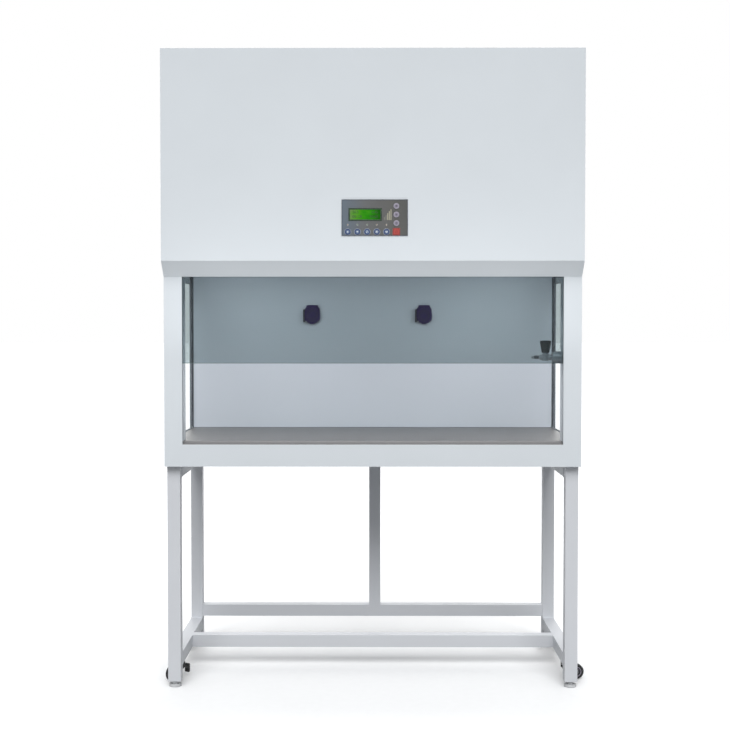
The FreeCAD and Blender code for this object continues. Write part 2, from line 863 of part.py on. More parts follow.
def front_post():
    """Open section of the right front post, with the recess that takes the sash guide."""
    corners = [
        ("post_inner", "body_front"), ("half_width", "body_front"),
        ("half_width", "post_back"), ("post_inner", "post_back"),
        ("post_inner", "guide_back"), ("post_inner + guide_lip", "guide_back"),
        ("post_inner + guide_lip", "guide_back + sheet"), ("post_inner + sheet", "guide_back + sheet"),
        ("post_inner + sheet", "post_back - sheet"), ("skin_side", "post_back - sheet"),
        ("skin_side", "guide_front"), ("post_inner", "guide_front"),
    ]
    shank = rod(
        "tap_hole", "x", "tap_shank + tap_shank_play",
        ("post_inner - sheet", "tap_y", "tap_z"), "3 * sheet",
    )
    return corners, shank


def chamber_frame():
    """Posts, front beam, side beams, rear member, rear posts and base pan."""
    corners, tap_hole = front_post()
    right_post = prism("post_section", "XY", corners, "body_bottom", "body_top")
    side_beam = prism("side_beam", "XZ", [
        ("half_width", "body_bottom"), ("half_width", "beam_top"),
        ("side_glass_outer + sheet", "beam_top"), ("side_glass_outer + sheet", "lip_top"),
        ("side_glass_outer", "lip_top"), ("side_glass_outer", "beam_top"),
        ("chamber_half", "beam_top"), ("chamber_half", "lip_top"),
        ("chamber_half - sheet", "lip_top"), ("chamber_half - sheet", "beam_top"),
        ("flange_inner", "beam_top"), ("flange_inner", "beam_top - sheet"),
        ("skin_side", "beam_top - sheet"), ("skin_side", "body_bottom"),
    ], "post_back", "skin_back")
    rear_post = prism("rear_post", "XY", [
        ("half_width", "wall_front"), ("half_width", "skin_back"), ("skin_side", "skin_back"),
        ("skin_side", "wall_front + sheet"), ("side_glass_outer", "wall_front + sheet"),
        ("side_glass_outer", "wall_front"),
    ], "lip_top", "body_top")
    front_beam = prism("front_beam", "YZ", [
        ("body_front", "body_bottom"), ("guide_front", "body_bottom"),
        ("guide_front", "beam_top - sheet"), ("body_front + beam_flange - sheet", "beam_top - sheet"),
        ("body_front + beam_flange - sheet", "beam_top - beam_lip"),
        ("body_front + beam_flange", "beam_top - beam_lip"),
        ("body_front + beam_flange", "beam_top"), ("body_front", "beam_top"),
    ], "-post_inner", "post_inner")
    rear_member = prism("rear_member", "YZ", [
        ("wall_front - wall_flange", "beam_top - sheet"),
        ("wall_front + wall_flange", "beam_top - sheet"),
        ("wall_front + wall_flange", "body_bottom"),
        ("wall_front + wall_flange + sheet", "body_bottom"),
        ("wall_front + wall_flange + sheet", "beam_top"),
        ("wall_front - wall_flange", "beam_top"),
    ], "-skin_side", "skin_side")
    pan = block(
        "base_pan", ("-half_width", "half_width"), ("body_front", "skin_back"),
        ("body_bottom", "pan_top"),
    )
    right = fuse("right_frame_side", cut("post_with_hole", right_post, tap_hole), side_beam, rear_post)
    left = mirror("left_frame_side", fuse("left_frame_source", right_post, side_beam, rear_post))
    return fuse("chamber_weldment", right, left, front_beam, rear_member, pan)


keep("chamber_frame", chamber_frame())


def side_glass():
    """Right side pane, standing in the groove of the side beam."""
    return block(
        "right_pane", ("chamber_half", "side_glass_outer"),
        ("post_back", "wall_front + wall_flange / 2"), ("beam_top", "bearer_bottom - fit_gap"),
    )


right_pane = side_glass()
keep("side_glass", group("side_panes", right_pane, mirror("left_pane", right_pane)))


def tray(name, x, y, z, opening, wall="sheet"):
    """Shallow box of sheet with one open face, given as an axis and a side."""
    axis, side = opening
    inner = []
    for this, (low, high) in zip("xyz", (x, y, z)):
        inside = [low + " + " + wall, high + " - " + wall]
        if this == axis:
            inside[side] = (low, high)[side]
        inner.append(tuple(inside))
    return cut(name, block(name + "_outside", x, y, z), block(name + "_inside", *inner))


LOW_SIDE = 0
HIGH_SIDE = 1


def worktop_corners(wall):
    """Corners of the worktop, narrower between the front posts, drawn in by a wall."""
    wide = "worktop_half - " + wall
    narrow = "post_inner - fit_gap - " + wall
    front = "worktop_front + " + wall
    step = "post_back + fit_gap + " + wall
    rear = "worktop_back - " + wall
    return [
        (minus(narrow), front), (narrow, front), (narrow, step), (wide, step),
        (wide, rear), (minus(wide), rear), (minus(wide), step), (minus(narrow), step),
    ]


def worktop():
    """Tray with folded edges that stands on the beams."""
    owner = body("worktop_tray")
    page = sketch(owner, "XY", "worktop_outline")
    outline(page, worktop_corners("0"))
    pad(owner, page, "worktop_rise")
    hollow = sketch(owner, "XY", "worktop_hollow")
    outline(hollow, worktop_corners("sheet"))
    pocket(owner, hollow, "worktop_rise - sheet", reverse=True)
    return bind(owner, {"Placement.Base.z": "beam_top"})


keep("worktop", worktop())


def rear_wall():
    """Chamber back with its edges folded to the rear and holes for the two sockets."""
    panel = tray(
        "wall_tray", ("-chamber_half + sheet", "chamber_half - sheet"),
        ("wall_front", "wall_front + wall_flange"), ("beam_top", "bearer_bottom"), ("y", HIGH_SIDE),
    )
    holes = [
        rod(
            side + "_wall_hole", "y", "socket_barrel + 2 * fit_gap",
            ("socket_%s_x" % side, "wall_front - sheet", "socket_z"), "3 * sheet",
        )
        for side in ("left", "right")
    ]
    return cut("wall_with_holes", panel, *holes)


keep("rear_wall", rear_wall())


def slotted_tray(name, plate, rows, slot, opening):
    """Tray with a row of straight slots through its plate."""
    x, y, z = plate
    across, along = slot
    count, pitch = rows
    owner = body(name)
    page = sketch(owner, "XY", name + "_plate")
    outline(page, rectangle(x[0], x[1], y[0], y[1]))
    pad(owner, page, "(%s) - (%s)" % (z[1], z[0]))
    hollow = sketch(owner, "XY", name + "_hollow", opening[0])
    outline(hollow, rectangle(
        x[0] + " + sheet", x[1] + " - sheet", y[0] + " + sheet", y[1] + " - sheet",
    ))
    pocket(owner, hollow, opening[1])
    start = "-(%s - 1) * %s / 2" % (count, pitch)
    cutter = sketch(owner, "XY", name + "_slot")
    outline(cutter, rectangle(
        "%s - %s / 2" % (start, across), "%s + %s / 2" % (start, across), along[0], along[1],
    ))
    slots = pocket(owner, cutter, midplane=True)
    doc.recompute()
    repeat(owner, slots, (cutter, ["H_Axis"]), "(%s - 1) * %s" % (count, pitch), count)
    return bind(owner, {"Placement.Base.z": z[0]})


keep("diffuser_screen", slotted_tray(
    "screen",
    (("-worktop_half", "worktop_half"), ("filter_front_y", "worktop_back"),
     ("ceiling", "bearer_bottom")),
    ("screen_slot_count", "screen_slot_pitch"),
    ("screen_slot_width", ("filter_front_y + screen_border", "worktop_back - screen_border")),
    ("screen_depth", "screen_depth - sheet"),
))


# Sash: glass, guides, clamps, cables, counterweights and synchronising shaft.

keep("sash_glass", block(
    "sash_pane", ("-sash_half", "sash_half"), ("sash_front", "sash_back"),
    ("sash_bottom", "sash_top"),
))


def guide():
    """Channel of the right sash guide, its web cut away above the post for the clamp arm."""
    channel = prism("guide_channel", "XY", [
        ("post_inner", "guide_front"), ("guide_outer", "guide_front"),
        ("guide_outer", "guide_back"), ("post_inner", "guide_back"),
        ("post_inner", "guide_back - guide_wall"), ("guide_web", "guide_back - guide_wall"),
        ("guide_web", "guide_front + guide_wall"), ("post_inner", "guide_front + guide_wall"),
    ], "pan_top", "guide_top")
    slot = block(
        "guide_slot", ("guide_web - guide_wall", "guide_outer + guide_wall"),
        ("guide_front + guide_wall", "guide_back - guide_wall"),
        ("guide_slot_bottom", "guide_slot_top"),
    )
    tie = block(
        "guide_tie", ("post_inner", "skin_side"), ("guide_front", "guide_back"),
        ("guide_slot_top", "guide_top"),
    )
    eye = rod(
        "guide_eye", "z", "3 * cable_diameter",
        ("cable_x", "sash_y", "guide_slot_top - guide_wall"), "3 * guide_wall",
    )
    return cut("right_guide", fuse("guide_with_tie", cut("cut_channel", channel, slot), tie), eye)


right_guide = guide()
keep("sash_guides", group("guides", right_guide, mirror("left_guide", right_guide)))


def clamp():
    """Shoe over the top edge of the glass, with the arm that reaches the cable."""
    shoe = block(
        "clamp_shoe", ("clamp_start", "clamp_end"),
        ("sash_front - clamp_cheek", "sash_back + clamp_cheek"),
        ("sash_top - clamp_grip", "clamp_top"),
    )
    seat = block(
        "clamp_seat", ("clamp_start - fit_gap", "clamp_end + fit_gap"),
        ("sash_front", "sash_back"), ("sash_top - clamp_grip - fit_gap", "sash_top"),
    )
    arm = block(
        "clamp_arm", ("clamp_end", "cable_x + 3 * cable_diameter"), ("sash_front", "sash_back"),
        ("sash_top", "clamp_top"),
    )
    return fuse("right_clamp", cut("clamp_cheeks", shoe, seat), arm)


right_clamp = clamp()
keep("sash_clamps", group("clamps", right_clamp, mirror("left_clamp", right_clamp)))


def cable():
    """Wire rope from the clamp arm, over its pulley and down to the counterweight."""
    owner = body("right_cable")
    route = sketch(owner, "YZ", "cable_route")
    middle = FreeCAD.Vector(value("shaft_y"), value("shaft_z"), 0)
    front = FreeCAD.Vector(value("sash_y"), value("clamp_top"), 0)
    rear = FreeCAD.Vector(value("weight_y"), value("weight_top"), 0)
    over = Part.Circle(middle, FreeCAD.Vector(0, 0, 1), value("pulley_radius"))
    route.addGeometry(Part.LineSegment(front, FreeCAD.Vector(front.x, middle.y, 0)))
    route.addGeometry(Part.ArcOfCircle(over, 0, math.pi))
    route.addGeometry(Part.LineSegment(FreeCAD.Vector(rear.x, middle.y, 0), rear))
    route.addConstraint(Sketcher.Constraint("Coincident", 0, 2, 1, 2))
    route.addConstraint(Sketcher.Constraint("Coincident", 1, 1, 2, 1))
    pin(route, 0, 1, "sash_y", "clamp_top")
    pin(route, 1, 3, "shaft_y", "shaft_z")
    pin(route, 2, 2, "weight_y", "weight_top")
    bound(route, "Radius", (1,), "pulley_radius")
    bound(route, "DistanceY", (-1, 1, 1, 1), "shaft_z")
    bound(route, "DistanceY", (-1, 1, 1, 2), "shaft_z")
    section = sketch(owner, "XY", "cable_section", "clamp_top")
    circle(section, "0", "sash_y", "cable_diameter")
    pipe = owner.newObject("PartDesign::AdditivePipe", "cable_pipe")
    pipe.Profile = section
    pipe.Spine = (route, ["Edge1", "Edge2", "Edge3"])
    return bind(owner, {"Placement.Base.x": "cable_x"})


right_cable = cable()
keep("sash_cables", group("cables", right_cable, mirror("left_cable", right_cable)))


def counterweight():
    """Steel bar that runs inside the right front post."""
    owner = body("right_weight")
    page = sketch(owner, "XY", "weight_section")
    half = "weight_side / 2"
    outline(page, rectangle(
        "cable_x - " + half, "cable_x + " + half, "weight_y - " + half, "weight_y + " + half,
    ))
    pad(owner, page, "weight_length")
    length = value("weight_length")
    chamfer(owner, "weight_chamfer", lambda edge: abs(edge.Length - length) < 0.01)
    return bind(owner, {"Placement.Base.z": "weight_top - weight_length"})


right_weight = counterweight()
keep("counterweights", group("weights", right_weight, mirror("left_weight", right_weight)))


def shaft():
    """Synchronising shaft with a grooved pulley near each end, turned about X."""
    half = [
        ("skin_side - shaft_end_gap", "0"), ("skin_side - shaft_end_gap", "shaft_diameter / 2"),
        ("cable_x + pulley_width / 2", "shaft_diameter / 2"),
        ("cable_x + pulley_width / 2", "pulley_rim"),
        ("cable_x + groove_half + pulley_flange / 2", "pulley_rim"),
        ("cable_x + groove_half", "groove_floor"),
        ("cable_x - groove_half", "groove_floor"),
        ("cable_x - groove_half - pulley_flange / 2", "pulley_rim"),
        ("cable_x - pulley_width / 2", "pulley_rim"),
        ("cable_x - pulley_width / 2", "shaft_diameter / 2"),
    ]
    other = [(minus(along), radius) for along, radius in reversed(half)]
    owner = body("shaft_and_pulleys")
    page = sketch(owner, "XZ", "shaft_profile")
    outline(page, half + other)
    turn = owner.newObject("PartDesign::Revolution", "shaft_turn")
    turn.Profile = page
    turn.ReferenceAxis = (page, ["H_Axis"])
    turn.Angle = 360
    return place(owner, ("0", "shaft_y", "shaft_z"))


keep("sash_shaft", shaft())


def shaft_bracket():
    """Flanged bearing on the right side panel."""
    owner = body("right_bracket")
    plate = sketch(owner, "YZ", "bracket_plate_outline")
    outline(plate, rectangle(
        "-bracket_side / 2", "bracket_side / 2", "-bracket_side / 2", "bracket_side / 2",
    ))
    pad(owner, plate, "bracket_plate", reverse=True)
    boss = sketch(owner, "YZ", "bracket_boss_outline")
    circle(boss, "0", "0", "bracket_boss")
    pad(owner, boss, "skin_side - cable_x - pulley_width / 2 - shaft_end_gap", reverse=True)
    bore = sketch(owner, "YZ", "bracket_bore")
    circle(bore, "0", "0", "shaft_diameter + 2 * bearing_play")
    pocket(owner, bore, midplane=True)
    return place(owner, ("skin_side", "shaft_y", "shaft_z"))


right_bracket = shaft_bracket()
keep("shaft_brackets", group("brackets", right_bracket, mirror("left_bracket", right_bracket)))


# Hood skins.


def front_panel():
    """Folded front of the hood, with the bevel, the top return and the panel cut-out."""
    owner = prism("front_skin", "YZ", [
        ("hood_front", "skin_top"), ("hood_front", "fold_z"), ("body_front", "bevel_bottom"),
        ("bevel_end_y", "bevel_end_z"), ("skin_front", "fold_inner_z"), ("skin_front", "skin_top"),
    ], "-half_width", "half_width")
    fold = sketch(owner, "YZ", "top_return", "sheet")
    outline(fold, rectangle("hood_front", "hood_front + top_flange", "skin_top - sheet", "skin_top"))
    pad(owner, fold, "2 * skin_side")
    opening = sketch(owner, "XZ", "panel_opening")
    outline(opening, rectangle(
        "half_width + panel_left + panel_edge - fit_gap",
        "half_width + panel_left + panel_width - panel_edge + fit_gap",
        "panel_top - panel_height + panel_edge - fit_gap", "panel_top - panel_edge + fit_gap",
    ))
    pocket(owner, opening, "cabinet_depth + panel_edge", midplane=True)
    return owner


keep("hood_front_panel", front_panel())


def side_panel():
    """Right side of the hood with the bearer fold that carries the filter."""
    skin = prism("side_skin", "YZ", [
        ("bevel_end_y", "body_top"), ("skin_back", "body_top"), ("skin_back", "skin_top"),
        ("skin_front", "skin_top"), ("skin_front", "fold_inner_z"), ("bevel_end_y", "bevel_end_z"),
    ], "skin_side", "half_width")
    bearer = block(
        "filter_bearer", ("bearer_inner", "skin_side"), ("bearer_front", "skin_back"),
        ("bearer_bottom", "filter_bottom"),
    )
    return fuse("right_side_panel", skin, bearer)


right_side_panel = side_panel()
keep("hood_side_panels", group("hood_sides", right_side_panel, mirror("left_side", right_side_panel)))

keep("hood_top_panel", prism(
    "top_skin", "XY", rectangle("-half_width", "half_width", "hood_front", "back"),
    "skin_top", "cabinet_height",
    [rectangle("-grille_half", "grille_half", "grille_front_y", "grille_back_y")],
))


def rear_panel():
    """Full-height back skin with the cut-out of the power inlet."""
    corners = rectangle("-half_width", "half_width", "body_bottom", "skin_top")
    hole = rectangle(
        "inlet_x - inlet_width / 2 - fit_gap", "inlet_x + inlet_width / 2 + fit_gap",
        "inlet_z - inlet_height / 2 - fit_gap", "inlet_z + inlet_height / 2 + fit_gap",
    )
    return prism("back_skin", "XZ", corners, "skin_back", "back", [hole])


keep("rear_panel", rear_panel())

keep("intake_grille", slotted_tray(
    "grille",
    (("-grille_half - grille_border", "grille_half + grille_border"),
     ("grille_front_y - grille_border", "grille_back_y + grille_border"),
     ("grille_bottom - prefilter_height", "skin_top")),
    ("grille_slot_count", "grille_slot_pitch"),
    ("grille_slot_width", ("grille_front_y + grille_border", "grille_back_y - grille_border")),
    ("prefilter_height", "prefilter_height + grille_wall"),
))

keep("prefilter", block(
    "prefilter_mat", ("-grille_half", "grille_half"), ("grille_front_y", "grille_back_y"),
    ("grille_bottom - prefilter_height", "grille_bottom"),
))


# Air path: filter, plenum and blower.

FILTER_X = ("-filter_half", "filter_half")
FILTER_Y = ("filter_front_y", "filter_back_y")


def inset(span, wall):
    """Span drawn in by a wall at both ends."""
    return (span[0] + " + " + wall, span[1] + " - " + wall)


FILTER_Z = ("filter_bottom", "filter_top")
keep("hepa_frame", cut(
    "filter_casing", block("casing_outside", FILTER_X, FILTER_Y, FILTER_Z),
    block("casing_inside", inset(FILTER_X, "filter_wall"), inset(FILTER_Y, "filter_wall"), FILTER_Z),
))


def filter_media():
    """Pleated pack, seen from below as a row of folds."""
    owner = body("media_pack")
    page = sketch(owner, "XZ", "media_block")
    inner = "filter_half - filter_wall"
    outline(page, rectangle(
        minus(inner), inner, "filter_bottom + filter_recess", "filter_top - filter_recess",
    ))
    pad(owner, page, "filter_back_y - filter_front_y - 2 * filter_wall", reverse=True)
    fold = sketch(owner, "XZ", "media_fold")
    start = "-(%s) + pleat_pitch / 2" % inner
    outline(fold, [
        (start, "filter_bottom + filter_recess"),
        (start + " + pleat_pitch / 2", "filter_bottom + filter_recess"),
        (start + " + pleat_pitch / 4", "filter_bottom + filter_recess + pleat_depth"),
    ])
    groove = pocket(owner, fold, midplane=True)
    doc.recompute()
    count = "floor(2 * (%s) / pleat_pitch)" % inner
    repeat(owner, groove, (fold, ["H_Axis"]), "(%s - 1) * pleat_pitch" % count, count)
    return bind(owner, {"Placement.Base.y": "filter_front_y + filter_wall"})


keep("hepa_media", filter_media())


def plenum():
    """Sheet box over the filter, open below, with the blower's outlet through its top."""
    shell = tray("plenum_shell", FILTER_X, FILTER_Y, ("filter_top", "plenum_top"), ("z", LOW_SIDE))
    outlet = block(
        "plenum_outlet", ("-blower_half + sheet", "blower_half - sheet"),
        ("outlet_front + sheet", "scroll_right_y - sheet"),
        ("plenum_top - 2 * sheet", "plenum_top + sheet"),
    )
    return cut("plenum_with_outlet", shell, outlet)


keep("plenum_box", plenum())


def scroll(shrink, bottom):
    """Corners of the scroll: three quarter turns of growing radius, drawn in by a wall."""
    first = "(scroll_radius - %s)" % shrink
    second = "(scroll_radius + scroll_growth - %s)" % shrink
    third = "(scroll_radius + 2 * scroll_growth - %s)" % shrink
    inner = "scroll_right_y - " + shrink
    return [
        (inner, bottom), (inner, "scroll_high_z - " + first),
        ("scroll_right_y", "scroll_high_z - " + first, first),
        ("scroll_right_y + " + first, "scroll_high_z", second),
        ("scroll_left_y", "scroll_high_z + " + second, third),
        ("scroll_left_y - " + third, "scroll_low_z"), ("scroll_left_y - " + third, bottom),
    ]


def blower_housing():
    """Double-inlet scroll on the plenum, with the fixed axle and its two inlet bars."""
    owner = body("scroll_case")
    skin = sketch(owner, "YZ", "scroll_skin")
    outline(skin, scroll("0", "plenum_top")[2:] + [("scroll_right_y", "plenum_top")])
    pad(owner, skin, "blower_width", midplane=True)
    space = sketch(owner, "YZ", "scroll_space")
    outline(space, scroll("sheet", "plenum_top - sheet"))
    pocket(owner, space, "blower_width - 2 * sheet", midplane=True)
    mouths = sketch(owner, "YZ", "scroll_mouths")
    circle(mouths, "blower_back", "blower_z", "2 * inlet_radius")
    pocket(owner, mouths, midplane=True)
    reach = "inlet_radius + spider_bar / 2"
    bars = [
        block(
            side + "_spider", span, ("blower_back - spider_bar / 2", "blower_back + spider_bar / 2"),
            ("blower_z - " + reach, "blower_z + " + reach),
        )
        for side, span in (
            ("right", ("blower_half", "blower_half + spider_wall")),
            ("left", ("-blower_half - spider_wall", "-blower_half")),
        )
    ]
    axle = rod(
        "blower_axle", "x", "axle_diameter", ("-blower_half - spider_wall", "blower_back", "blower_z"),
        "blower_width + 2 * spider_wall",
    )
    return fuse("scroll_with_axle", owner, axle, *bars)


keep("blower_housing", blower_housing())


def impeller():
    """Forward-curved double wheel: motor hub, middle disc, two end rings and a ring of blades."""
    owner = body("blower_wheel")
    hub = sketch(owner, "YZ", "motor_hub")
    circle(hub, "0", "0", "2 * motor_radius")
    pad(owner, hub, "motor_width", midplane=True)
    disc = sketch(owner, "YZ", "middle_disc")
    circle(disc, "0", "0", "2 * impeller_radius")
    pad(owner, disc, "impeller_ring", midplane=True)
    for side, offset in (
        ("left", "-impeller_width / 2"), ("right", "impeller_width / 2 - impeller_ring"),
    ):
        ring = sketch(owner, "YZ", side + "_ring", offset)
        circle(ring, "0", "0", "2 * impeller_radius")
        circle(ring, "0", "0", "2 * impeller_inner")
        pad(owner, ring, "impeller_ring").Refine = False
    bore = sketch(owner, "YZ", "wheel_bore")
    circle(bore, "0", "0", "axle_diameter + 2 * bearing_play")
    pocket(owner, bore, midplane=True)
    blade = sketch(owner, "YZ", "blade_section")
    inner = "impeller_inner + blade_wall / 2"
    outer = "impeller_radius - blade_wall / 2"
    lead = "blade_depth / 4"
    outline(blade, [
        (inner, minus(lead), "blade_curve"), (outer, lead),
        (outer, lead + " + blade_wall", "-blade_curve"), (inner, minus(lead) + " + blade_wall"),
    ])
    feature = pad(owner, blade, "impeller_width - impeller_ring", midplane=True)
    doc.recompute()
    ring_of(owner, feature, (blade, ["N_Axis"]), "blade_count")
    return place(owner, ("0", "blower_back", "blower_z"))


keep("blower_impeller", impeller())


# Lamps under the hood, behind the sash.


def lamp(name, along_y):
    """Tube with end caps between two holders."""
    glass = rod(
        name + "_tube", "x", "lamp_diameter", ("-lamp_length / 2", along_y, "lamp_z"), "lamp_length",
    )
    pin_rod = rod(
        name + "_pins", "x", "lamp_pin / 2", ("-lamp_length / 2 - lamp_pin", along_y, "lamp_z"),
        "lamp_length + 2 * lamp_pin",
    )
    return fuse(name + "_glass", glass, pin_rod)


def lamp_holder(name, along_y, back):
    """Right holder of a lamp, carried on the front of the filter frame."""
    start = "lamp_length / 2 + lamp_pin / 4"
    width = (start, start + " + lamp_holder_width")
    top = "filter_bottom + lamp_holder_height"
    socket = block(
        name + "_holder", width, (along_y + " - lamp_holder_side / 2", back),
        ("filter_bottom", top),
    )
    arm = block(
        name + "_arm", width, (along_y + " - lamp_holder_side / 2", "filter_front_y"),
        (top, top + " + lamp_arm"),
    )
    hole = rod(
        name + "_holder_hole", "x", "lamp_pin / 2 + 4 * bearing_play",
        (start + " - sheet", along_y, "lamp_z"), "lamp_pin + sheet",
    )
    solid = socket if back == "filter_front_y" else fuse(name + "_holder_arm", socket, arm)
    return cut(name + "_right_holder", solid, hole)


for name, along_y, back in (
    ("work_lamp", "lamp_y", "lamp_y + lamp_holder_side / 2"), ("uv_lamp", "uv_y", "filter_front_y"),
):
    holder = lamp_holder(name, along_y, back)
    keep(name, group(
        name + "_set", lamp(name, along_y), holder, mirror(name + "_left_holder", holder),
    ))


# Control panel, display and keys.

ROW_KEYS = ("up", "down", "fan", "light", "uv")
COLUMN_KEYS = ("mute", "menu", "timer")


def key_places():
    """Name and middle of each round key."""
    for index, name in enumerate(ROW_KEYS):
        yield name, "panel_left + key_row_left + %d * key_row_pitch" % index, "key_row_z"
    for index, name in enumerate(COLUMN_KEYS):
        yield name, "key_column_x", "panel_top - key_column_top - %d * key_column_pitch" % index


POWER_PLACE = ("key_column_x", "panel_top - key_column_top - 3 * key_column_pitch")


def control_panel():
    """Bezel and box of the control panel, with its window and key holes."""
    owner = body("panel_case")
    bezel = sketch(owner, "XZ", "bezel_outline")
    outline(bezel, rounded("panel_x", "panel_z", "panel_width", "panel_height", "panel_corner"))
    pad(owner, bezel, "panel_proud")
    case = sketch(owner, "XZ", "case_outline")
    wide = "panel_width - 2 * panel_edge"
    high = "panel_height - 2 * panel_edge"
    outline(case, rounded("panel_x", "panel_z", wide, high, "panel_corner"))
    pad(owner, case, "panel_depth", reverse=True)
    space = sketch(owner, "XZ", "case_space", "-panel_depth")
    outline(space, rounded(
        "panel_x", "panel_z", wide + " - 2 * panel_wall", high + " - 2 * panel_wall", "panel_corner",
    ))
    pocket(owner, space, "panel_depth - panel_wall", reverse=True)
    holes = sketch(owner, "XZ", "panel_holes")
    for _, u, v in key_places():
        circle(holes, u, v, "key_diameter + 2 * key_gap")
    side = "power_key_side + 2 * key_gap"
    outline(holes, rounded(*POWER_PLACE, side, side, "power_key_corner"))
    outline(holes, rounded("display_x", "display_z", "display_width", "display_height", "sheet"))
    pocket(owner, holes, "4 * panel_wall", midplane=True)
    return bind(owner, {"Placement.Base.y": "hood_front"})


keep("control_panel", control_panel())

keep("lcd_window", prism(
    "display_glass", "XZ",
    rounded("display_x", "display_z", "display_width - fit_gap", "display_height - fit_gap", "sheet"),
    "panel_front + panel_wall / 4", "panel_front + panel_wall / 4 + display_wall",
))


def key(name, u, v, square=False):
    """Push key: round or square cap, and the stem that works its switch."""
    owner = body(name)
    cap = sketch(owner, "XZ", name + "_cap")
    if square:
        outline(cap, rounded(u, v, "power_key_side", "power_key_side", "power_key_corner"))
    else:
        circle(cap, u, v, "key_diameter")
    pad(owner, cap, "key_length", reverse=True)
    stem = sketch(owner, "XZ", name + "_stem", "-key_length")
    outline(stem, rectangle(
        u + " - key_stem / 2", u + " + key_stem / 2", v + " - key_stem / 2", v + " + key_stem / 2",
    ))
    pad(owner, stem, "key_stem_length", reverse=True)
    return bind(owner, {"Placement.Base.y": "key_front"})


for name, u, v in key_places():
    keep("key_" + name, key("key_" + name, u, v))
keep("key_power", key("key_power", *POWER_PLACE, square=True))


# Waterproof sockets on the rear wall.


def socket(side):
    """Socket plate with its well, hinge pin and the barrel behind the wall."""
    x = "socket_%s_x" % side
    owner = body("socket_" + side)
    plate = sketch(owner, "XZ", side + "_socket_plate")
    outline(plate, rounded(x, "socket_z", "socket_width", "socket_height", "socket_corner"))
    pad(owner, plate, "socket_wall")
    barrel = sketch(owner, "XZ", side + "_socket_barrel")
    circle(barrel, x, "socket_z", "socket_barrel")
    pad(owner, barrel, "socket_barrel_depth", reverse=True)
    well = sketch(owner, "XZ", side + "_socket_well", "socket_wall")
    circle(well, x, "socket_z", "socket_well")
    pocket(owner, well, "socket_barrel_depth / 2")
    bind(owner, {"Placement.Base.y": "wall_front"})
    hinge = rod(
        side + "_hinge_pin", "x", "hinge_pin",
        (x + " - hinge_span / 2", "hinge_y", "hinge_z"), "hinge_span",
    )
    ears = [
        block(
            side + ear, span, ("hinge_y - hinge_pin", "wall_front - socket_wall / 2"),
            ("hinge_z - hinge_pin", "hinge_z + hinge_pin"),
        )
        for ear, span in (
            ("_near_ear", (x + " - hinge_span / 2", x + " - hinge_width / 2 - fit_gap")),
            ("_far_ear", (x + " + hinge_width / 2 + fit_gap", x + " + hinge_span / 2")),
        )
    ]
    return fuse(side + "_socket", owner, hinge, *ears)


def lid(side):
    """Flip lid: a shallow cap with the knuckle that turns on the hinge pin."""
    x = "socket_%s_x" % side
    owner = body("lid_" + side)
    cap = sketch(owner, "XZ", side + "_lid_cap")
    circle(cap, x, "socket_z - hinge_rise / 2", "lid_diameter")
    pad(owner, cap, "lid_height")
    chamfer(owner, "lid_chamfer", lambda edge: is_circle(value("lid_diameter / 2"))(edge) and (
        edge.CenterOfMass.y < -1
    ))
    bind(owner, {"Placement.Base.y": "wall_front - socket_wall - fit_gap"})
    arm = block(
        side + "_lid_arm", (x + " - hinge_width / 2", x + " + hinge_width / 2"),
        ("hinge_y - hinge_radius", "hinge_y"), ("socket_z + lid_diameter / 4", "hinge_z"),
    )
    knuckle = rod(
        side + "_lid_knuckle", "x", "2 * hinge_radius",
        (x + " - hinge_width / 2", "hinge_y", "hinge_z"), "hinge_width",
    )
    bore = rod(
        side + "_lid_bore", "x", "hinge_pin + 2 * bearing_play",
        (x + " - hinge_width", "hinge_y", "hinge_z"), "2 * hinge_width",
    )
    return cut(side + "_lid", fuse(side + "_lid_solid", owner, arm, knuckle), bore)


keep("socket_bodies", group("sockets", socket("left"), socket("right")))
for side in ("left", "right"):
    keep("socket_lid_" + side, lid(side))


# Service tap on the inner face of the right post.


def tap_body():
    """Turned body and nozzle along X, bonnet upwards, shank and nut inside the post."""
    barrel = turned("tap_barrel", [
        ("0", "0"), ("tap_boss / 2", "0"), ("tap_boss / 2", "tap_collar"),
        ("tap_boss / 2 - sheet", "tap_boss_length"), ("tap_body_diameter / 2", "tap_boss_length"),
        ("tap_body_diameter / 2", "tap_body_end"), ("tap_nozzle_diameter / 2", "tap_body_end + sheet"),
        ("tap_nozzle_diameter / 2", "tap_nozzle_end"), ("0", "tap_nozzle_end"),
    ])
    barrel.Placement.Rotation = FreeCAD.Rotation(FreeCAD.Vector(0, 1, 0), -90)
    place(barrel, ("post_inner", "tap_y", "tap_z"))
    bonnet = rod(
        "tap_bonnet", "z", "tap_bonnet_diameter",
        ("tap_stem_x", "tap_y", "tap_z - tap_bonnet_diameter / 2"), "tap_bonnet_diameter",
    )
    stem = rod(
        "tap_stem", "z", "tap_stem_diameter", ("tap_stem_x", "tap_y", "tap_z"),
        "knob_z - tap_z + knob_blind - fit_gap",
    )
    shank = rod(
        "tap_shank_bar", "x", "tap_shank", ("post_inner - sheet", "tap_y", "tap_z"),
        "sheet + tap_shank_end",
    )
    nut = rod(
        "tap_back_nut", "x", "tap_nut", ("post_inner + sheet", "tap_y", "tap_z"), "tap_nut_wall",
    )
    return fuse("tap_casting", barrel, bonnet, stem, shank, nut)


keep("tap_body", tap_body())


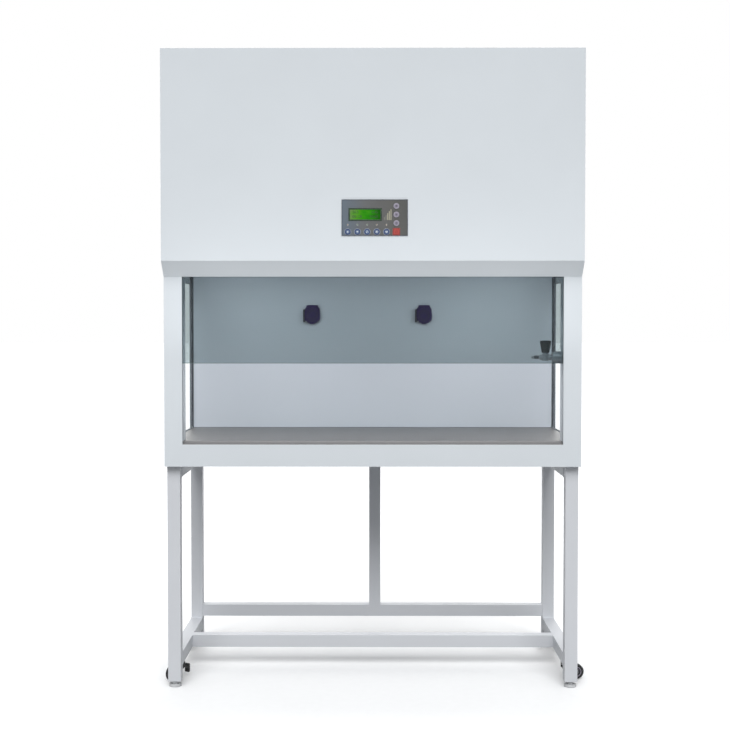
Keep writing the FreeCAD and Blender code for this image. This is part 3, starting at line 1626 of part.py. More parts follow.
def tap_knob():
    """Tapered hand knob with finger flutes, blind on its stem."""
    owner = turned("knob", [
        ("stem_bore", "0"), ("knob_bottom / 2", "0"), ("knob_top / 2", "knob_taper"),
        ("knob_top / 2", "knob_height - sheet"), ("knob_top / 2 - sheet", "knob_height"),
        ("0", "knob_height"), ("0", "knob_blind"), ("stem_bore", "knob_blind"),
    ])
    flute = sketch(owner, "XY", "knob_flute_outline")
    circle(flute, "knob_top / 2 + knob_flute / 3", "0", "knob_flute")
    groove = pocket(owner, flute, "knob_height", reverse=True)
    doc.recompute()
    ring_of(owner, groove, (flute, ["N_Axis"]), "knob_flute_count")
    return place(owner, ("tap_stem_x", "tap_y", "knob_z"))


keep("tap_knob", tap_knob())


def power_inlet():
    """Appliance inlet in the rear panel: flange outside, open well, closed box inside."""
    owner = body("inlet")
    flange = sketch(owner, "XZ", "inlet_flange_outline")
    outline(flange, rectangle(
        "inlet_x - inlet_width / 2 - inlet_flange", "inlet_x + inlet_width / 2 + inlet_flange",
        "inlet_z - inlet_height / 2 - inlet_flange", "inlet_z + inlet_height / 2 + inlet_flange",
    ))
    pad(owner, flange, "inlet_wall", reverse=True)
    box = sketch(owner, "XZ", "inlet_box")
    outline(box, rectangle(
        "inlet_x - inlet_width / 2", "inlet_x + inlet_width / 2",
        "inlet_z - inlet_height / 2", "inlet_z + inlet_height / 2",
    ))
    pad(owner, box, "inlet_depth")
    well = sketch(owner, "XZ", "inlet_well_outline", "-inlet_wall")
    edge = "inlet_wall"
    outline(well, rectangle(
        "inlet_x - inlet_width / 2 + " + edge, "inlet_x + inlet_width / 2 - " + edge,
        "inlet_z - inlet_height / 2 + " + edge, "inlet_z + inlet_height / 2 - " + edge,
    ))
    pocket(owner, well, "inlet_well", reverse=True)
    return bind(owner, {"Placement.Base.y": "back"})


keep("power_inlet", power_inlet())


# Check every object, then write one file for each node.

doc.recompute()
for thing in doc.Objects:
    faults = [state for state in thing.State if state in ("Invalid", "Error")]
    if faults:
        raise RuntimeError("%s is %s" % (thing.Name, ", ".join(faults)))
for name, thing in nodes.items():
    if thing.Shape.isNull() or not thing.Shape.isValid():
        raise RuntimeError(name + " has no valid shape")

os.makedirs("parts", exist_ok=True)
for name, thing in nodes.items():
    thing.Shape.exportStep("parts/" + name + ".step")
    box = thing.Shape.BoundBox
    print("%-26s %2d %9.1f cm3 %s" % (name, len(thing.Shape.Solids), thing.Shape.Volume / 1000, box))
print(len(nodes), "nodes")
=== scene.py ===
import json
import math

import bmesh
import bpy
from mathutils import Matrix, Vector


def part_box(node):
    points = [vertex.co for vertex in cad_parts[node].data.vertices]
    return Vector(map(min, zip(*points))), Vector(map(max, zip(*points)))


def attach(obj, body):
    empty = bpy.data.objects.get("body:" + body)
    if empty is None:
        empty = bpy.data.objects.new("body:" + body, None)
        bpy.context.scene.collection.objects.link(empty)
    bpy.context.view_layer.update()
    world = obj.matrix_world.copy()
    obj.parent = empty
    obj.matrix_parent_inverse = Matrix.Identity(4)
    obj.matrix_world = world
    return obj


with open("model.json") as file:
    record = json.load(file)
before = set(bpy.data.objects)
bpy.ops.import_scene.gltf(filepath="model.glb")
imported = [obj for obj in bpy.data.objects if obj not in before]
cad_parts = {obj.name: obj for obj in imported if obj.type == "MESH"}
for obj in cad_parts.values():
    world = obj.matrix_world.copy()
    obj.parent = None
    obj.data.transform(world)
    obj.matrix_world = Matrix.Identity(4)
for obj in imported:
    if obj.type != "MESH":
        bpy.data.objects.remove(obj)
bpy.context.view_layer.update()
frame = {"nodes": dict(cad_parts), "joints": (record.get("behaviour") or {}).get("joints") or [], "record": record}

# Places of the cabinet, in metres, as in the part's source.
HALF = 0.650
BACK = 0.325
BODY_FRONT = -0.278
TOP = 1.990
SHEET = 0.0015
BODY_TOP = 1.292
BEAM_TOP = 0.772
POST_INNER = 0.5935
POST_BACK = -0.210
WALL_FRONT = 0.267
GLASS_INNER = 0.638
GLASS_OUTER = 0.643
WORKTOP_TOP = 0.782
CEILING = 1.315

# Places of the stand's 40 mm tubes.
LEG_INNER = 0.606
LEG_MIDDLE = 0.626
LEG_OUTER = 0.646
FRONT_LEG_BACK = -0.2113
REAR_LEG_FRONT = 0.2567
REAR_LEG_MIDDLE = 0.2767
REAR_LEG_BACK = 0.2967
REAR_RAIL = (0.1095, 0.1495)
MID_RAIL_Y = 0.025
MID_RAIL_Z = 0.083
TOP_TUBE_UNDER = 0.663

SIDES = (("left", -1), ("right", 1))
CORNERS = ("front_left", "front_right", "rear_left", "rear_right")
UP = (0, 0, 1)
DOWN = (0, 0, -1)
FORWARD = (0, -1, 0)
BACKWARD = (0, 1, 0)


# Camera, at the photograph's place.

camera = bpy.data.objects.new("camera", bpy.data.cameras.new("camera"))
camera.data.lens = 60.99
camera.data.sensor_width = 36
camera.data.clip_start = 0.1
camera.data.clip_end = 200
camera.location = (-0.0033, -4.125, 1.1351)
camera.rotation_euler = (math.radians(90 - 1.705), 0, math.radians(0.306))
bpy.context.scene.collection.objects.link(camera)
bpy.context.scene.camera = camera


# Materials.


def shade(code, share=1.0):
    """Linear colour from a picture's 0 to 255 levels."""
    levels = []
    for level in code:
        level = level / 255
        level = level / 12.92 if level <= 0.04045 else ((level + 0.055) / 1.055) ** 2.4
        levels.append(min(1.0, level * share))
    return (*levels, 1.0)


def new_node(tree, kind, sockets=(), **settings):
    """New node; sockets are (input name or number, value or output to read)."""
    node = tree.nodes.new(kind)
    for name, setting in settings.items():
        setattr(node, name, setting)
    for name, given in sockets:
        if isinstance(given, bpy.types.NodeSocket):
            tree.links.new(given, node.inputs[name])
        else:
            node.inputs[name].default_value = given
    return node


def blended(tree, share, first, second):
    """Mix of two shaders."""
    return new_node(tree, "ShaderNodeMixShader", [(0, share), (1, first), (2, second)]).outputs[0]


def in_view(tree):
    """1 for what the camera sees, straight, in a mirror or through glass."""
    rays = new_node(tree, "ShaderNodeLightPath").outputs
    seen = rays["Is Camera Ray"]
    for kind in ("Is Glossy Ray", "Is Transmission Ray"):
        seen = new_node(tree, "ShaderNodeMath", [(0, seen), (1, rays[kind])], operation="MAXIMUM").outputs[0]
    return seen


class Finish:
    """A material in the making."""

    def __init__(self, name):
        self.material = bpy.data.materials.new(name)
        self.material.use_nodes = True
        self.tree = self.material.node_tree
        self.tree.nodes.clear()
        self.place = self.add("ShaderNodeTexCoord").outputs["Object"]

    def add(self, kind, sockets=(), **settings):
        """New node of this material."""
        return new_node(self.tree, kind, sockets, **settings)

    def stretched(self, scale):
        """Place coordinates stretched along each axis."""
        return self.add("ShaderNodeMapping", [("Vector", self.place), ("Scale", scale)]).outputs[0]

    def noise(self, scale, detail=3.0, stretch=None, rough=0.5):
        """Noise from 0 to 1."""
        where = self.stretched(stretch) if stretch else self.place
        sockets = [("Vector", where), ("Scale", scale), ("Detail", detail), ("Roughness", rough)]
        return self.add("ShaderNodeTexNoise", sockets).outputs["Fac"]

    def spread(self, source, low, high, start=0.3, stop=0.7):
        """Source taken from start..stop to low..high."""
        sockets = [
            ("Value", source), ("From Min", start), ("From Max", stop), ("To Min", low), ("To Max", high),
        ]
        return self.add("ShaderNodeMapRange", sockets).outputs["Result"]

    def ramp(self, source, *stops):
        """Colours along a source, as (position, colour)."""
        node = self.add("ShaderNodeValToRGB", [("Fac", source)])
        while len(node.color_ramp.elements) < len(stops):
            node.color_ramp.elements.new(0.5)
        for element, (position, colour) in zip(node.color_ramp.elements, stops):
            element.position = position
            element.color = colour
        return node.outputs["Color"]

    def mix(self, source, first, second):
        """Blend of two colours."""
        sockets = [(0, source), (6, first), (7, second)]
        return self.add("ShaderNodeMix", sockets, data_type="RGBA").outputs[2]

    def bump(self, source, depth, strength=1.0, normal=None):
        """Relief of a depth in metres."""
        sockets = [("Height", source), ("Distance", depth), ("Strength", strength)]
        if normal is not None:
            sockets.append(("Normal", normal))
        return self.add("ShaderNodeBump", sockets).outputs["Normal"]

    def principled(self, *sockets):
        """The surface shader."""
        return self.close(self.add("ShaderNodeBsdfPrincipled", sockets).outputs[0])

    def close(self, shader):
        """Join a shader to the output."""
        self.add("ShaderNodeOutputMaterial", [("Surface", shader)])
        return self.material


def shades(code, spread):
    """A colour a little darker and a little lighter."""
    return shade(code, 1 - spread), shade(code, 1 + spread)


def coated(name, code, rough=0.42, metal=0.0, vary=0.02, patch=3.0, grain=900.0, depth=0.00002,
           specular=0.5):
    """Sprayed, moulded or cast surface: faint patches of shade, uneven gloss and a fine skin."""
    f = Finish(name)
    dark, pale = shades(code, vary)
    colour = f.ramp(f.noise(patch, 4.0), (0.35, dark), (0.65, pale))
    skin = f.noise(grain, 2.0)
    gloss = f.spread(f.noise(patch * 4, 3.0), rough - 0.05, rough + 0.05)
    return f.principled(
        ("Base Color", colour), ("Roughness", gloss), ("Metallic", metal),
        ("Normal", f.bump(skin, depth)), ("Specular IOR Level", specular),
    )


def brushed(name, code, stretch, rough=0.32, metal=1.0, vary=0.06, depth=0.00001):
    """Metal with a straight grain along its least stretched axis."""
    f = Finish(name)
    dark, pale = shades(code, vary)
    lines = f.noise(1.0, 6.0, stretch, 0.6)
    patches = f.noise(4.0, 4.0)
    colour = f.mix(patches, f.ramp(lines, (0.3, dark), (0.7, pale)), shade(code))
    gloss = f.spread(lines, rough - 0.06, rough + 0.08)
    return f.principled(
        ("Base Color", colour), ("Roughness", gloss), ("Metallic", metal),
        ("Normal", f.bump(lines, depth)),
    )


def spangled(name, code, size=45.0):
    """Zinc sheet with its crystal pattern."""
    f = Finish(name)
    dark, pale = shades(code, 0.13)
    cells = f.add("ShaderNodeTexVoronoi", [("Vector", f.place), ("Scale", size)])
    grey = f.add("ShaderNodeRGBToBW", [("Color", cells.outputs["Color"])]).outputs[0]
    colour = f.ramp(grey, (0.2, dark), (0.8, pale))
    return f.principled(
        ("Base Color", colour), ("Roughness", f.spread(grey, 0.34, 0.52)), ("Metallic", 0.85),
        ("Normal", f.bump(f.noise(size * 3), 0.00003)),
    )


def pane(name, tint, mirror, ior, vary=0.012):
    """Glass sheet: its tint lets through what is behind, and the outer face mirrors."""
    f = Finish(name)
    smear = f.noise(2.2, 5.0, (1, 1, 0.6))
    dark = tuple(c * (1 - vary) for c in tint)
    clear = f.add("ShaderNodeBsdfTransparent", [
        ("Color", f.ramp(smear, (0.35, (*dark, 1)), (0.65, (*tint, 1)))),
    ]).outputs[0]
    gloss = f.add("ShaderNodeBsdfGlossy", [("Roughness", f.spread(smear, 0.01, 0.05))]).outputs[0]
    fresnel = f.add("ShaderNodeFresnel", [("IOR", ior)]).outputs[0]
    outside = f.add("ShaderNodeMath", [
        (0, 1.0), (1, f.add("ShaderNodeNewGeometry").outputs["Backfacing"]),
    ], operation="SUBTRACT").outputs[0]
    share = f.add("ShaderNodeMath", [(0, fresnel), (1, outside)], operation="MULTIPLY").outputs[0]
    weak = f.add("ShaderNodeMath", [(0, share), (1, mirror)], operation="MULTIPLY").outputs[0]
    return f.close(blended(f.tree, weak, clear, gloss))


def fibrous(name, code, size, depth, rough=0.95):
    """Filter mat: tangled fibres."""
    f = Finish(name)
    dark, pale = shades(code, 0.12)
    tangle = f.noise(size, 8.0, None, 0.75)
    return f.principled(
        ("Base Color", f.ramp(tangle, (0.3, dark), (0.7, pale))), ("Roughness", rough),
        ("Normal", f.bump(tangle, depth)), ("Sheen Weight", 0.3), ("Sheen Roughness", 0.6),
    )


def paper(name, code):
    """Glass-fibre filter paper with glue lines across its pleats."""
    f = Finish(name)
    dark, pale = shades(code, 0.04)
    lines = f.add("ShaderNodeTexWave", [
        ("Vector", f.place), ("Scale", 12.0), ("Distortion", 0.4), ("Detail", 2.0),
    ], bands_direction="Y").outputs["Fac"]
    fibres = f.noise(700.0, 6.0, None, 0.7)
    glue = shade((232, 226, 204))
    colour = f.mix(f.spread(lines, 0.0, 0.35, 0.9, 1.0), f.ramp(fibres, (0.3, dark), (0.7, pale)), glue)
    return f.principled(
        ("Base Color", colour), ("Roughness", 0.9), ("Normal", f.bump(fibres, 0.00008)),
    )


def stranded(name, code):
    """Wire rope: strands laid at a slant along Z."""
    f = Finish(name)
    dark, pale = shades(code, 0.25)
    lay = f.add("ShaderNodeTexWave", [
        ("Vector", f.stretched((1.0, 1.0, 0.6))), ("Scale", 260.0), ("Distortion", 0.3),
    ], bands_direction="DIAGONAL").outputs["Fac"]
    return f.principled(
        ("Base Color", f.ramp(lay, (0.1, dark), (0.9, pale))), ("Roughness", 0.35), ("Metallic", 0.9),
        ("Normal", f.bump(lay, 0.0002)),
    )


def panel_skin_painted_reflection(name):
    """Polycarbonate overlay: grey, paler towards its left as a painted reflection; the painted shadow at its edges
    is drawn as separate strips.
    """
    f = Finish(name)
    parts = f.add("ShaderNodeSeparateXYZ", [("Vector", f.place)]).outputs
    across = f.spread(parts["X"], 0.0, 1.0, -0.0955, 0.1075)
    drift = f.add("ShaderNodeMath", [
        (0, across), (1, f.spread(f.noise(9.0, 4.0), -0.12, 0.12)),
    ], operation="ADD").outputs[0]
    # Paler bluish grey at the left, darker grey at the right: a painted reflection.
    colour = f.ramp(
        drift, (0.0, shade((88, 99, 110))), (0.3, shade((91, 93, 95))),
        (0.75, shade((82, 82, 80))), (1.0, shade((72, 74, 72))),
    )
    return f.principled(
        ("Base Color", colour), ("Roughness", f.spread(f.noise(30.0), 0.30, 0.42)),
        ("Normal", f.bump(f.noise(1800.0, 2.0), 0.00001)),
    )


def screen_glow(name):
    """Backlit display: yellow-green at its lower left, deeper green to the right."""
    f = Finish(name)
    parts = f.add("ShaderNodeSeparateXYZ", [("Vector", f.place)]).outputs
    across = f.spread(parts["X"], 0.0, 1.0, -0.072, 0.026)
    drift = f.add("ShaderNodeMath", [
        (0, across), (1, f.spread(f.noise(38.0, 5.0, (1, 1, 2)), -0.15, 0.15)),
    ], operation="ADD").outputs[0]
    colour = f.ramp(
        drift, (0.0, shade((98, 128, 74))), (0.3, shade((70, 142, 26))),
        (0.6, shade((36, 128, 6))), (1.0, shade((18, 86, 1))),
    )
    grid = f.add("ShaderNodeTexChecker", [("Vector", f.place), ("Scale", 1600.0)]).outputs["Fac"]
    return f.principled(
        ("Base Color", colour), ("Roughness", f.spread(f.noise(20.0), 0.12, 0.2)),
        ("Emission Color", colour), ("Emission Strength", 0.12), ("Specular IOR Level", 0.1),
        ("Normal", f.bump(grid, 0.000004)),
    )


def rubber(name, code, depth=0.0003, rough=0.75):
    """Rubber, dusty in places."""
    f = Finish(name)
    dark, pale = shades(code, 0.15)
    dust = f.noise(60.0, 6.0, None, 0.65)
    relief = f.noise(500.0, 3.0)
    return f.principled(
        ("Base Color", f.ramp(dust, (0.35, dark), (0.75, pale))),
        ("Roughness", f.spread(dust, rough - 0.08, min(1.0, rough + 0.12))),
        ("Normal", f.bump(relief, depth)),
    )


def frosted_tube(name, code, strength):
    """Lamp tube: powdery white inside clear glass."""
    f = Finish(name)
    dark, pale = shades(code, 0.03)
    powder = f.noise(25.0, 6.0)
    return f.principled(
        ("Base Color", f.ramp(powder, (0.3, dark), (0.7, pale))),
        ("Roughness", f.spread(powder, 0.08, 0.16)), ("Coat Weight", 0.6),
        ("Emission Color", shade((255, 255, 255))), ("Emission Strength", strength),
    )


PAINT = (210, 216, 221)
FINISHES = {
    "painted_tube": coated("painted_tube", (208, 211, 216), 0.5, grain=700.0, specular=0.35),
    "painted_sheet": coated("painted_sheet", PAINT, 0.45, vary=0.012, grain=800.0, depth=0.00004),
    "painted_wall": coated("painted_wall", (206, 212, 221), 0.38, vary=0.015, patch=2.0),
    "painted_grille": coated("painted_grille", (206, 211, 216), 0.5, grain=700.0, depth=0.00005),
    "stainless": brushed("stainless", (136, 134, 133), (6.0, 900.0, 900.0), 0.42, 0.75),
    "clear_glass": pane("clear_glass", (0.985, 0.995, 0.995), 0.35, 1.45),
    "sash_tint": pane("sash_tint", (0.668, 0.715, 0.723), 0.4, 1.6),
    "guide_aluminium": brushed("guide_aluminium", (168, 172, 176), (700.0, 700.0, 8.0), 0.38, 0.9),
    "filter_aluminium": brushed("filter_aluminium", (186, 190, 194), (10.0, 600.0, 600.0), 0.4, 0.9),
    "filter_paper": paper("filter_paper", (238, 238, 232)),
    "filter_mat": fibrous("filter_mat", (168, 176, 182), 260.0, 0.0015),
    "zinc_sheet": spangled("zinc_sheet", (172, 178, 182)),
    "cable_steel": stranded("cable_steel", (150, 152, 155)),
    "weight_steel": coated("weight_steel", (86, 88, 92), 0.6, 0.6, 0.12, 14.0, 300.0, 0.0002),
    "lamp_white": frosted_tube("lamp_white", (240, 243, 245), 0.25),
    "lamp_quartz": frosted_tube("lamp_quartz", (214, 222, 230), 0.05),
    "panel_grey": panel_skin_painted_reflection("panel_grey"),
    "display_green": screen_glow("display_green"),
    "socket_violet": coated(
        "socket_violet", (38, 16, 86), 0.42, vary=0.12, patch=40.0, grain=1500.0, specular=0.3,
    ),
    "tap_enamel": coated("tap_enamel", (162, 165, 172), 0.34, 0.2, 0.06, 30.0, 600.0, 0.00005),
    "black_plastic": coated("black_plastic", (44, 52, 56), 0.45, vary=0.1, patch=30.0, grain=1400.0),
    "castor_black": coated("castor_black", (34, 35, 38), 0.5, 0.3, 0.12, 30.0, 900.0, 0.00004),
    "wheel_rubber": rubber("wheel_rubber", (30, 30, 32)),
    "foot_grey": coated(
        "foot_grey", (206, 208, 210), 0.45, vary=0.05, patch=40.0, grain=1000.0, depth=0.00006,
    ),
    "key_blue": coated("key_blue", (44, 62, 104), 0.35, vary=0.08, patch=50.0, grain=1500.0),
    "key_grey": coated("key_grey", (150, 146, 160), 0.4, vary=0.05, patch=50.0, grain=1500.0),
    "key_red": coated("key_red", (164, 62, 56), 0.36, vary=0.08, patch=50.0, grain=1500.0),
}
SEAL = rubber("seal_rubber", (102, 108, 116), depth=0.0001)
STEEL = brushed("screw_steel", (176, 179, 183), (260.0, 260.0, 260.0), 0.3)
NOSE = brushed("worktop_nose_steel", (136, 136, 137), (6.0, 900.0, 900.0), 0.5, 0.4)
DARK_STEEL = coated("dark_steel", (96, 98, 102), 0.38, 0.85, 0.08, 60.0, 500.0, 0.00004)
CHROME = coated("chrome", (200, 204, 208), 0.16, 1.0, 0.03, 30.0, 400.0, 0.00001)
KEY_FACE = coated("key_face", (92, 110, 138), 0.4, vary=0.05, patch=60.0)
KEY_DUSK = coated("key_dusk", (132, 126, 142), 0.4, vary=0.05, patch=60.0)
INK_PALE = coated("ink_pale", (226, 230, 236), 0.5, vary=0.03, patch=80.0)
INK_DARK = coated("ink_dark", (46, 44, 56), 0.5, vary=0.08, patch=80.0)
KEY_RIM = coated("key_rim", (150, 158, 172), 0.4, vary=0.05, patch=60.0)
INK_RED = coated("ink_red", (128, 40, 36), 0.5, vary=0.08, patch=80.0)
# Colour of the strips round the control panel: painted shadow at its edges.
PANEL_EDGE_SHADE = coated("panel_rim_painted_shade", (56, 62, 74), 0.4, vary=0.06, patch=40.0)
LID_DARK = coated("lid_dark", (26, 18, 54), 0.42, vary=0.12, patch=40.0, grain=1500.0)
INK_DIM = coated("ink_dim", (112, 113, 106), 0.5, vary=0.05, patch=80.0)
INK_CREAM = coated("ink_cream", (158, 156, 136), 0.5, vary=0.05, patch=80.0)
LCD_DARK = coated("lcd_dark", (26, 62, 18), 0.3, vary=0.1, patch=60.0)
LCD_FRAME = coated("lcd_frame", (30, 52, 34), 0.3, vary=0.1, patch=60.0)
LENS_AMBER = coated("lens_amber", (142, 116, 82), 0.2, vary=0.08, patch=90.0)
LENS_GREEN = coated("lens_green", (100, 122, 88), 0.2, vary=0.08, patch=90.0)
INSERT = coated("socket_insert", (196, 196, 204), 0.4, vary=0.04, patch=60.0)
# Colour of the block at each socket's left: partly a latch, partly painted shadow.
LATCH_PAINTED_SHADE = coated("socket_latch_painted_shade", (34, 34, 52), 0.4, vary=0.1, patch=40.0)
SOLE = coated("foot_sole", (168, 170, 174), 0.5, vary=0.06, patch=60.0)
SILICONE = coated("silicone", (120, 124, 130), 0.35, vary=0.06, patch=40.0)
SASH_EDGE = coated("sash_edge", (92, 112, 118), 0.2, vary=0.05, patch=8.0)

for part in frame["record"]["subparts"]:
    materials = frame["nodes"][part["node"]].data.materials
    materials.clear()
    materials.append(FINISHES[part["material_slot"]])


# Making pieces.


def piece(name, mesh, finish, body):
    """Finished mesh as an object that rides on a body."""
    thing = bpy.data.objects.new(name, mesh)
    bpy.context.scene.collection.objects.link(thing)
    mesh.materials.append(finish)
    mesh.shade_smooth()
    mesh.set_sharp_from_angle(angle=math.radians(38))
    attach(thing, body)
    return thing


def from_bmesh(name, build):
    """Mesh from a bmesh, its faces turned outward."""
    bmesh.ops.recalc_face_normals(build, faces=build.faces)
    mesh = bpy.data.meshes.new(name)
    build.to_mesh(mesh)
    build.free()
    return mesh


def bars(name, spans, finish, body, edge=0.0004):
    """Rounded blocks, each from one corner to the other, in one mesh."""
    build = bmesh.new()
    for low, high in spans:
        one = bmesh.new()
        bmesh.ops.create_cube(one, size=1.0)
        for vertex in one.verts:
            for axis in range(3):
                vertex.co[axis] = high[axis] if vertex.co[axis] > 0 else low[axis]
        least = min(abs(h - l) for l, h in zip(low, high))
        width = min(edge, least * 0.4)
        bmesh.ops.bevel(one, geom=one.edges[:], offset=width, segments=2, profile=0.6, affect="EDGES")
        scrap = bpy.data.meshes.new("scrap")
        one.to_mesh(scrap)
        one.free()
        build.from_mesh(scrap)
        bpy.data.meshes.remove(scrap)
    return piece(name, from_bmesh(name, build), finish, body)


def axes(along):
    """Two directions square to one axis, and the axis."""
    along = Vector(along).normalized()
    side = Vector((0, 0, 1)) if abs(along.z) < 0.9 else Vector((1, 0, 0))
    first = side.cross(along).normalized()
    return first, along.cross(first).normalized(), along


def reach(point, angle):
    """Radius of a profile point, where a third entry gives it that many flat sides."""
    if len(point) == 2:
        return point[0]
    step = math.pi / point[2]
    return point[0] * math.cos(step) / math.cos((angle % (2 * step)) - step)


def turned(name, profile, spots, along, finish, body, segments=24):
    """Turned pieces of one (radius, height) profile at several spots, in one mesh."""
    build = bmesh.new()
    first, second, axis = axes(along)
    for spot in spots:
        rings = []
        for point in profile:
            centre = Vector(spot) + axis * point[1]
            if point[0] == 0:
                rings.append([build.verts.new(centre)])
                continue
            ring = []
            for index in range(segments):
                angle = 2 * math.pi * index / segments
                radius = reach(point, angle)
                ring.append(build.verts.new(
                    centre + first * radius * math.cos(angle) + second * radius * math.sin(angle)
                ))
            rings.append(ring)
        for low, high in zip(rings, rings[1:]):
            for index in range(segments):
                after = (index + 1) % segments
                corners = [low[index % len(low)], low[after % len(low)]]
                corners += [high[after % len(high)], high[index % len(high)]]
                unique = list(dict.fromkeys(corners))
                if len(unique) > 2:
                    build.faces.new(unique)
    return piece(name, from_bmesh(name, build), finish, body)


def closed(profile):
    """Ring section that meets itself."""
    return profile + profile[:1]


def bead(name, points, radius, finish, body, cyclic=False, bend=0.0):
    """Round bead along points, its corners rounded."""
    curve = bpy.data.curves.new(name, "CURVE")
    curve.dimensions = "3D"
    curve.bevel_depth = radius
    curve.bevel_resolution = 3
    spline = curve.splines.new("BEZIER" if bend else "POLY")
    if bend:
        count = len(points)
        rounded = []
        for index, point in enumerate(points):
            here = Vector(point)
            if not cyclic and index in (0, count - 1):
                rounded.append(here)
                continue
            for other in (points[index - 1], points[(index + 1) % count]):
                rounded.append(here + (Vector(other) - here).normalized() * bend)
        spline.bezier_points.add(len(rounded) - 1)
        for knot, at in zip(spline.bezier_points, rounded):
            knot.co = at
            knot.handle_left_type = knot.handle_right_type = "AUTO"
    else:
        spline.points.add(len(points) - 1)
        for knot, at in zip(spline.points, points):
            knot.co = (*at, 1)
    spline.use_cyclic_u = cyclic
    holder = bpy.data.objects.new(name + "_line", curve)
    mesh = bpy.data.meshes.new_from_object(holder)
    bpy.data.objects.remove(holder)
    bpy.data.curves.remove(curve)
    return piece(name, mesh, finish, body)


def words(name, text, size, place, finish, body, along="CENTER"):
    """Plain digits or words, raised a little, facing the front."""
    font = bpy.data.curves.new(name, "FONT")
    font.body = text
    font.size = size
    font.align_x = along
    font.align_y = "CENTER"
    font.extrude = 0.00006
    holder = bpy.data.objects.new(name + "_text", font)
    mesh = bpy.data.meshes.new_from_object(holder)
    bpy.data.objects.remove(holder)
    for vertex in mesh.vertices:
        u, v, w = vertex.co
        vertex.co = Vector(place) + Vector((u, -w, v))
    return piece(name, mesh, finish, body)


def plate(name, outlines, y, thick, finish, body):
    """Flat shapes in the XZ plane, each a list of (x, z) corners, raised by a thickness."""
    build = bmesh.new()
    for corners in outlines:
        front = [build.verts.new((u, y - thick, v)) for u, v in corners]
        rear = [build.verts.new((u, y, v)) for u, v in corners]
        build.faces.new(front)
        build.faces.new(list(reversed(rear)))
        for index in range(len(corners)):
            after = (index + 1) % len(corners)
            build.faces.new((front[index], rear[index], rear[after], front[after]))
    return piece(name, from_bmesh(name, build), finish, body)


def arc(u, v, radius, start, stop, steps=10):
    """Points of an arc, angles in degrees."""
    angles = [math.radians(start + (stop - start) * i / steps) for i in range(steps + 1)]
    return [(u + radius * math.cos(a), v + radius * math.sin(a)) for a in angles]


def band(u, v, outer, inner, start=0, stop=360, steps=24):
    """Outline of a ring or part of one."""
    return arc(u, v, outer, start, stop, steps) + arc(u, v, inner, stop, start, steps)


def oblong(u, v, left, low, right, high):
    """Corners of a rectangle about a point."""
    return [(u + left, v + low), (u + right, v + low), (u + right, v + high), (u + left, v + high)]


def border(low, high, y, thick, bottom, top, side):
    """Four strips along the edges of a rectangle that faces the front, for bars."""
    front = y - thick
    return [
        ((low.x, front, low.z), (high.x, y, low.z + bottom)),
        ((low.x, front, high.z - top), (high.x, y, high.z)),
        ((low.x, front, low.z + bottom), (low.x + side, y, high.z - top)),
        ((high.x - side, front, low.z + bottom), (high.x, y, high.z - top)),
    ]


def scaled(profile, size):
    """Profile grown by a factor."""
    return [(point[0] * size, point[1] * size, *point[2:]) for point in profile]


# Heads, as (radius, height) profiles; a third entry gives that many flat sides.
PAN_HEAD = [
    (0, 0.0011), (0.0011, 0.0011, 6), (0.0011, 0.0021, 6), (0.0019, 0.0021), (0.0032, 0.0016),
    (0.0038, 0.0006), (0.0038, 0.0),
]
FLAT_HEAD = [
    (0, 0.0001), (0.0011, 0.0001, 6), (0.0011, 0.0004, 6), (0.0031, 0.0004), (0.0036, 0.0001),
    (0.0036, 0.0),
]
HEX_HEAD = [
    (0, 0.0052), (0.0058, 0.0052), (0.0073, 0.0044, 6), (0.0075, 0.0012, 6), (0.0086, 0.0012),
    (0.0088, 0.0002), (0.0088, 0.0),
]


def screws(name, head, spots, along, body="root"):
    """Steel screws of one kind."""
    turned(name, head, spots, along, STEEL, body)


# Chamber: seals, corner trim that is partly painted shade, and the stainless nose over the front beam.

SEAL_FRONT = POST_BACK + 0.0015
SEAL_BACK = WALL_FRONT - 0.003
TRIM_FRONT = WALL_FRONT - 0.0022
TRIM_BACK = WALL_FRONT - 0.0002
TRIM_STEP = BODY_TOP - 0.0005
for side, sign in SIDES:
    for label, x, low, top in (
        ("outer", GLASS_OUTER + 0.0012, 0.7815, BODY_TOP - 0.002),
        ("inner", GLASS_INNER - 0.0010, 0.7822, CEILING - 0.0015),
    ):
        bead("glazing_seal_%s_%s" % (label, side), [
            (sign * x, SEAL_FRONT, low), (sign * x, SEAL_BACK, low),
            (sign * x, SEAL_BACK, top), (sign * x, SEAL_FRONT, top),
        ], 0.0014, SEAL, "root", cyclic=True)
    # Seal-grey trim behind the side glass, dark as the shade on the rear posts' faces: partly real trim, partly
    # painted shade.
    left, right = sorted((sign * (GLASS_OUTER + 0.0001), sign * (HALF - 0.0006)))
    upper_right = right if sign < 0 else right - 0.0012
    bars("corner_trim_painted_shade_" + side, [
        ((left, TRIM_FRONT, 0.7805), (right, TRIM_BACK, TRIM_STEP)),
        ((left, TRIM_FRONT, TRIM_STEP), (upper_right, TRIM_BACK, CEILING)),
    ], SEAL, "root", 0.0008)

NOSE_HALF = POST_INNER - 0.0008
bars("worktop_nose", [
    ((-NOSE_HALF, BODY_FRONT + 0.0006, BEAM_TOP), (NOSE_HALF, -0.2605, BEAM_TOP + 0.0016)),
    ((-NOSE_HALF, -0.2627, BEAM_TOP), (NOSE_HALF, -0.2612, WORKTOP_TOP + 0.0004)),
], NOSE, "root", 0.0005)

bead("wall_bead", [
    (x, WALL_FRONT - 0.0006, WORKTOP_TOP + 0.0006) for x in (-0.635, 0.635)
], 0.0012, SILICONE, "root")


# Hood: filler of the seam over the posts, and screws of the skins.

for side, sign in SIDES:
    left, right = sorted((sign * (HALF - 0.0006), sign * (POST_INNER + 0.0004)))
    bars("seam_filler_" + side, [
        ((left, BODY_FRONT + 0.0003, BODY_TOP), (right, BODY_FRONT + 0.0014, BODY_TOP + 0.0032)),
    ], FINISHES["painted_sheet"], "root", 0.0002)

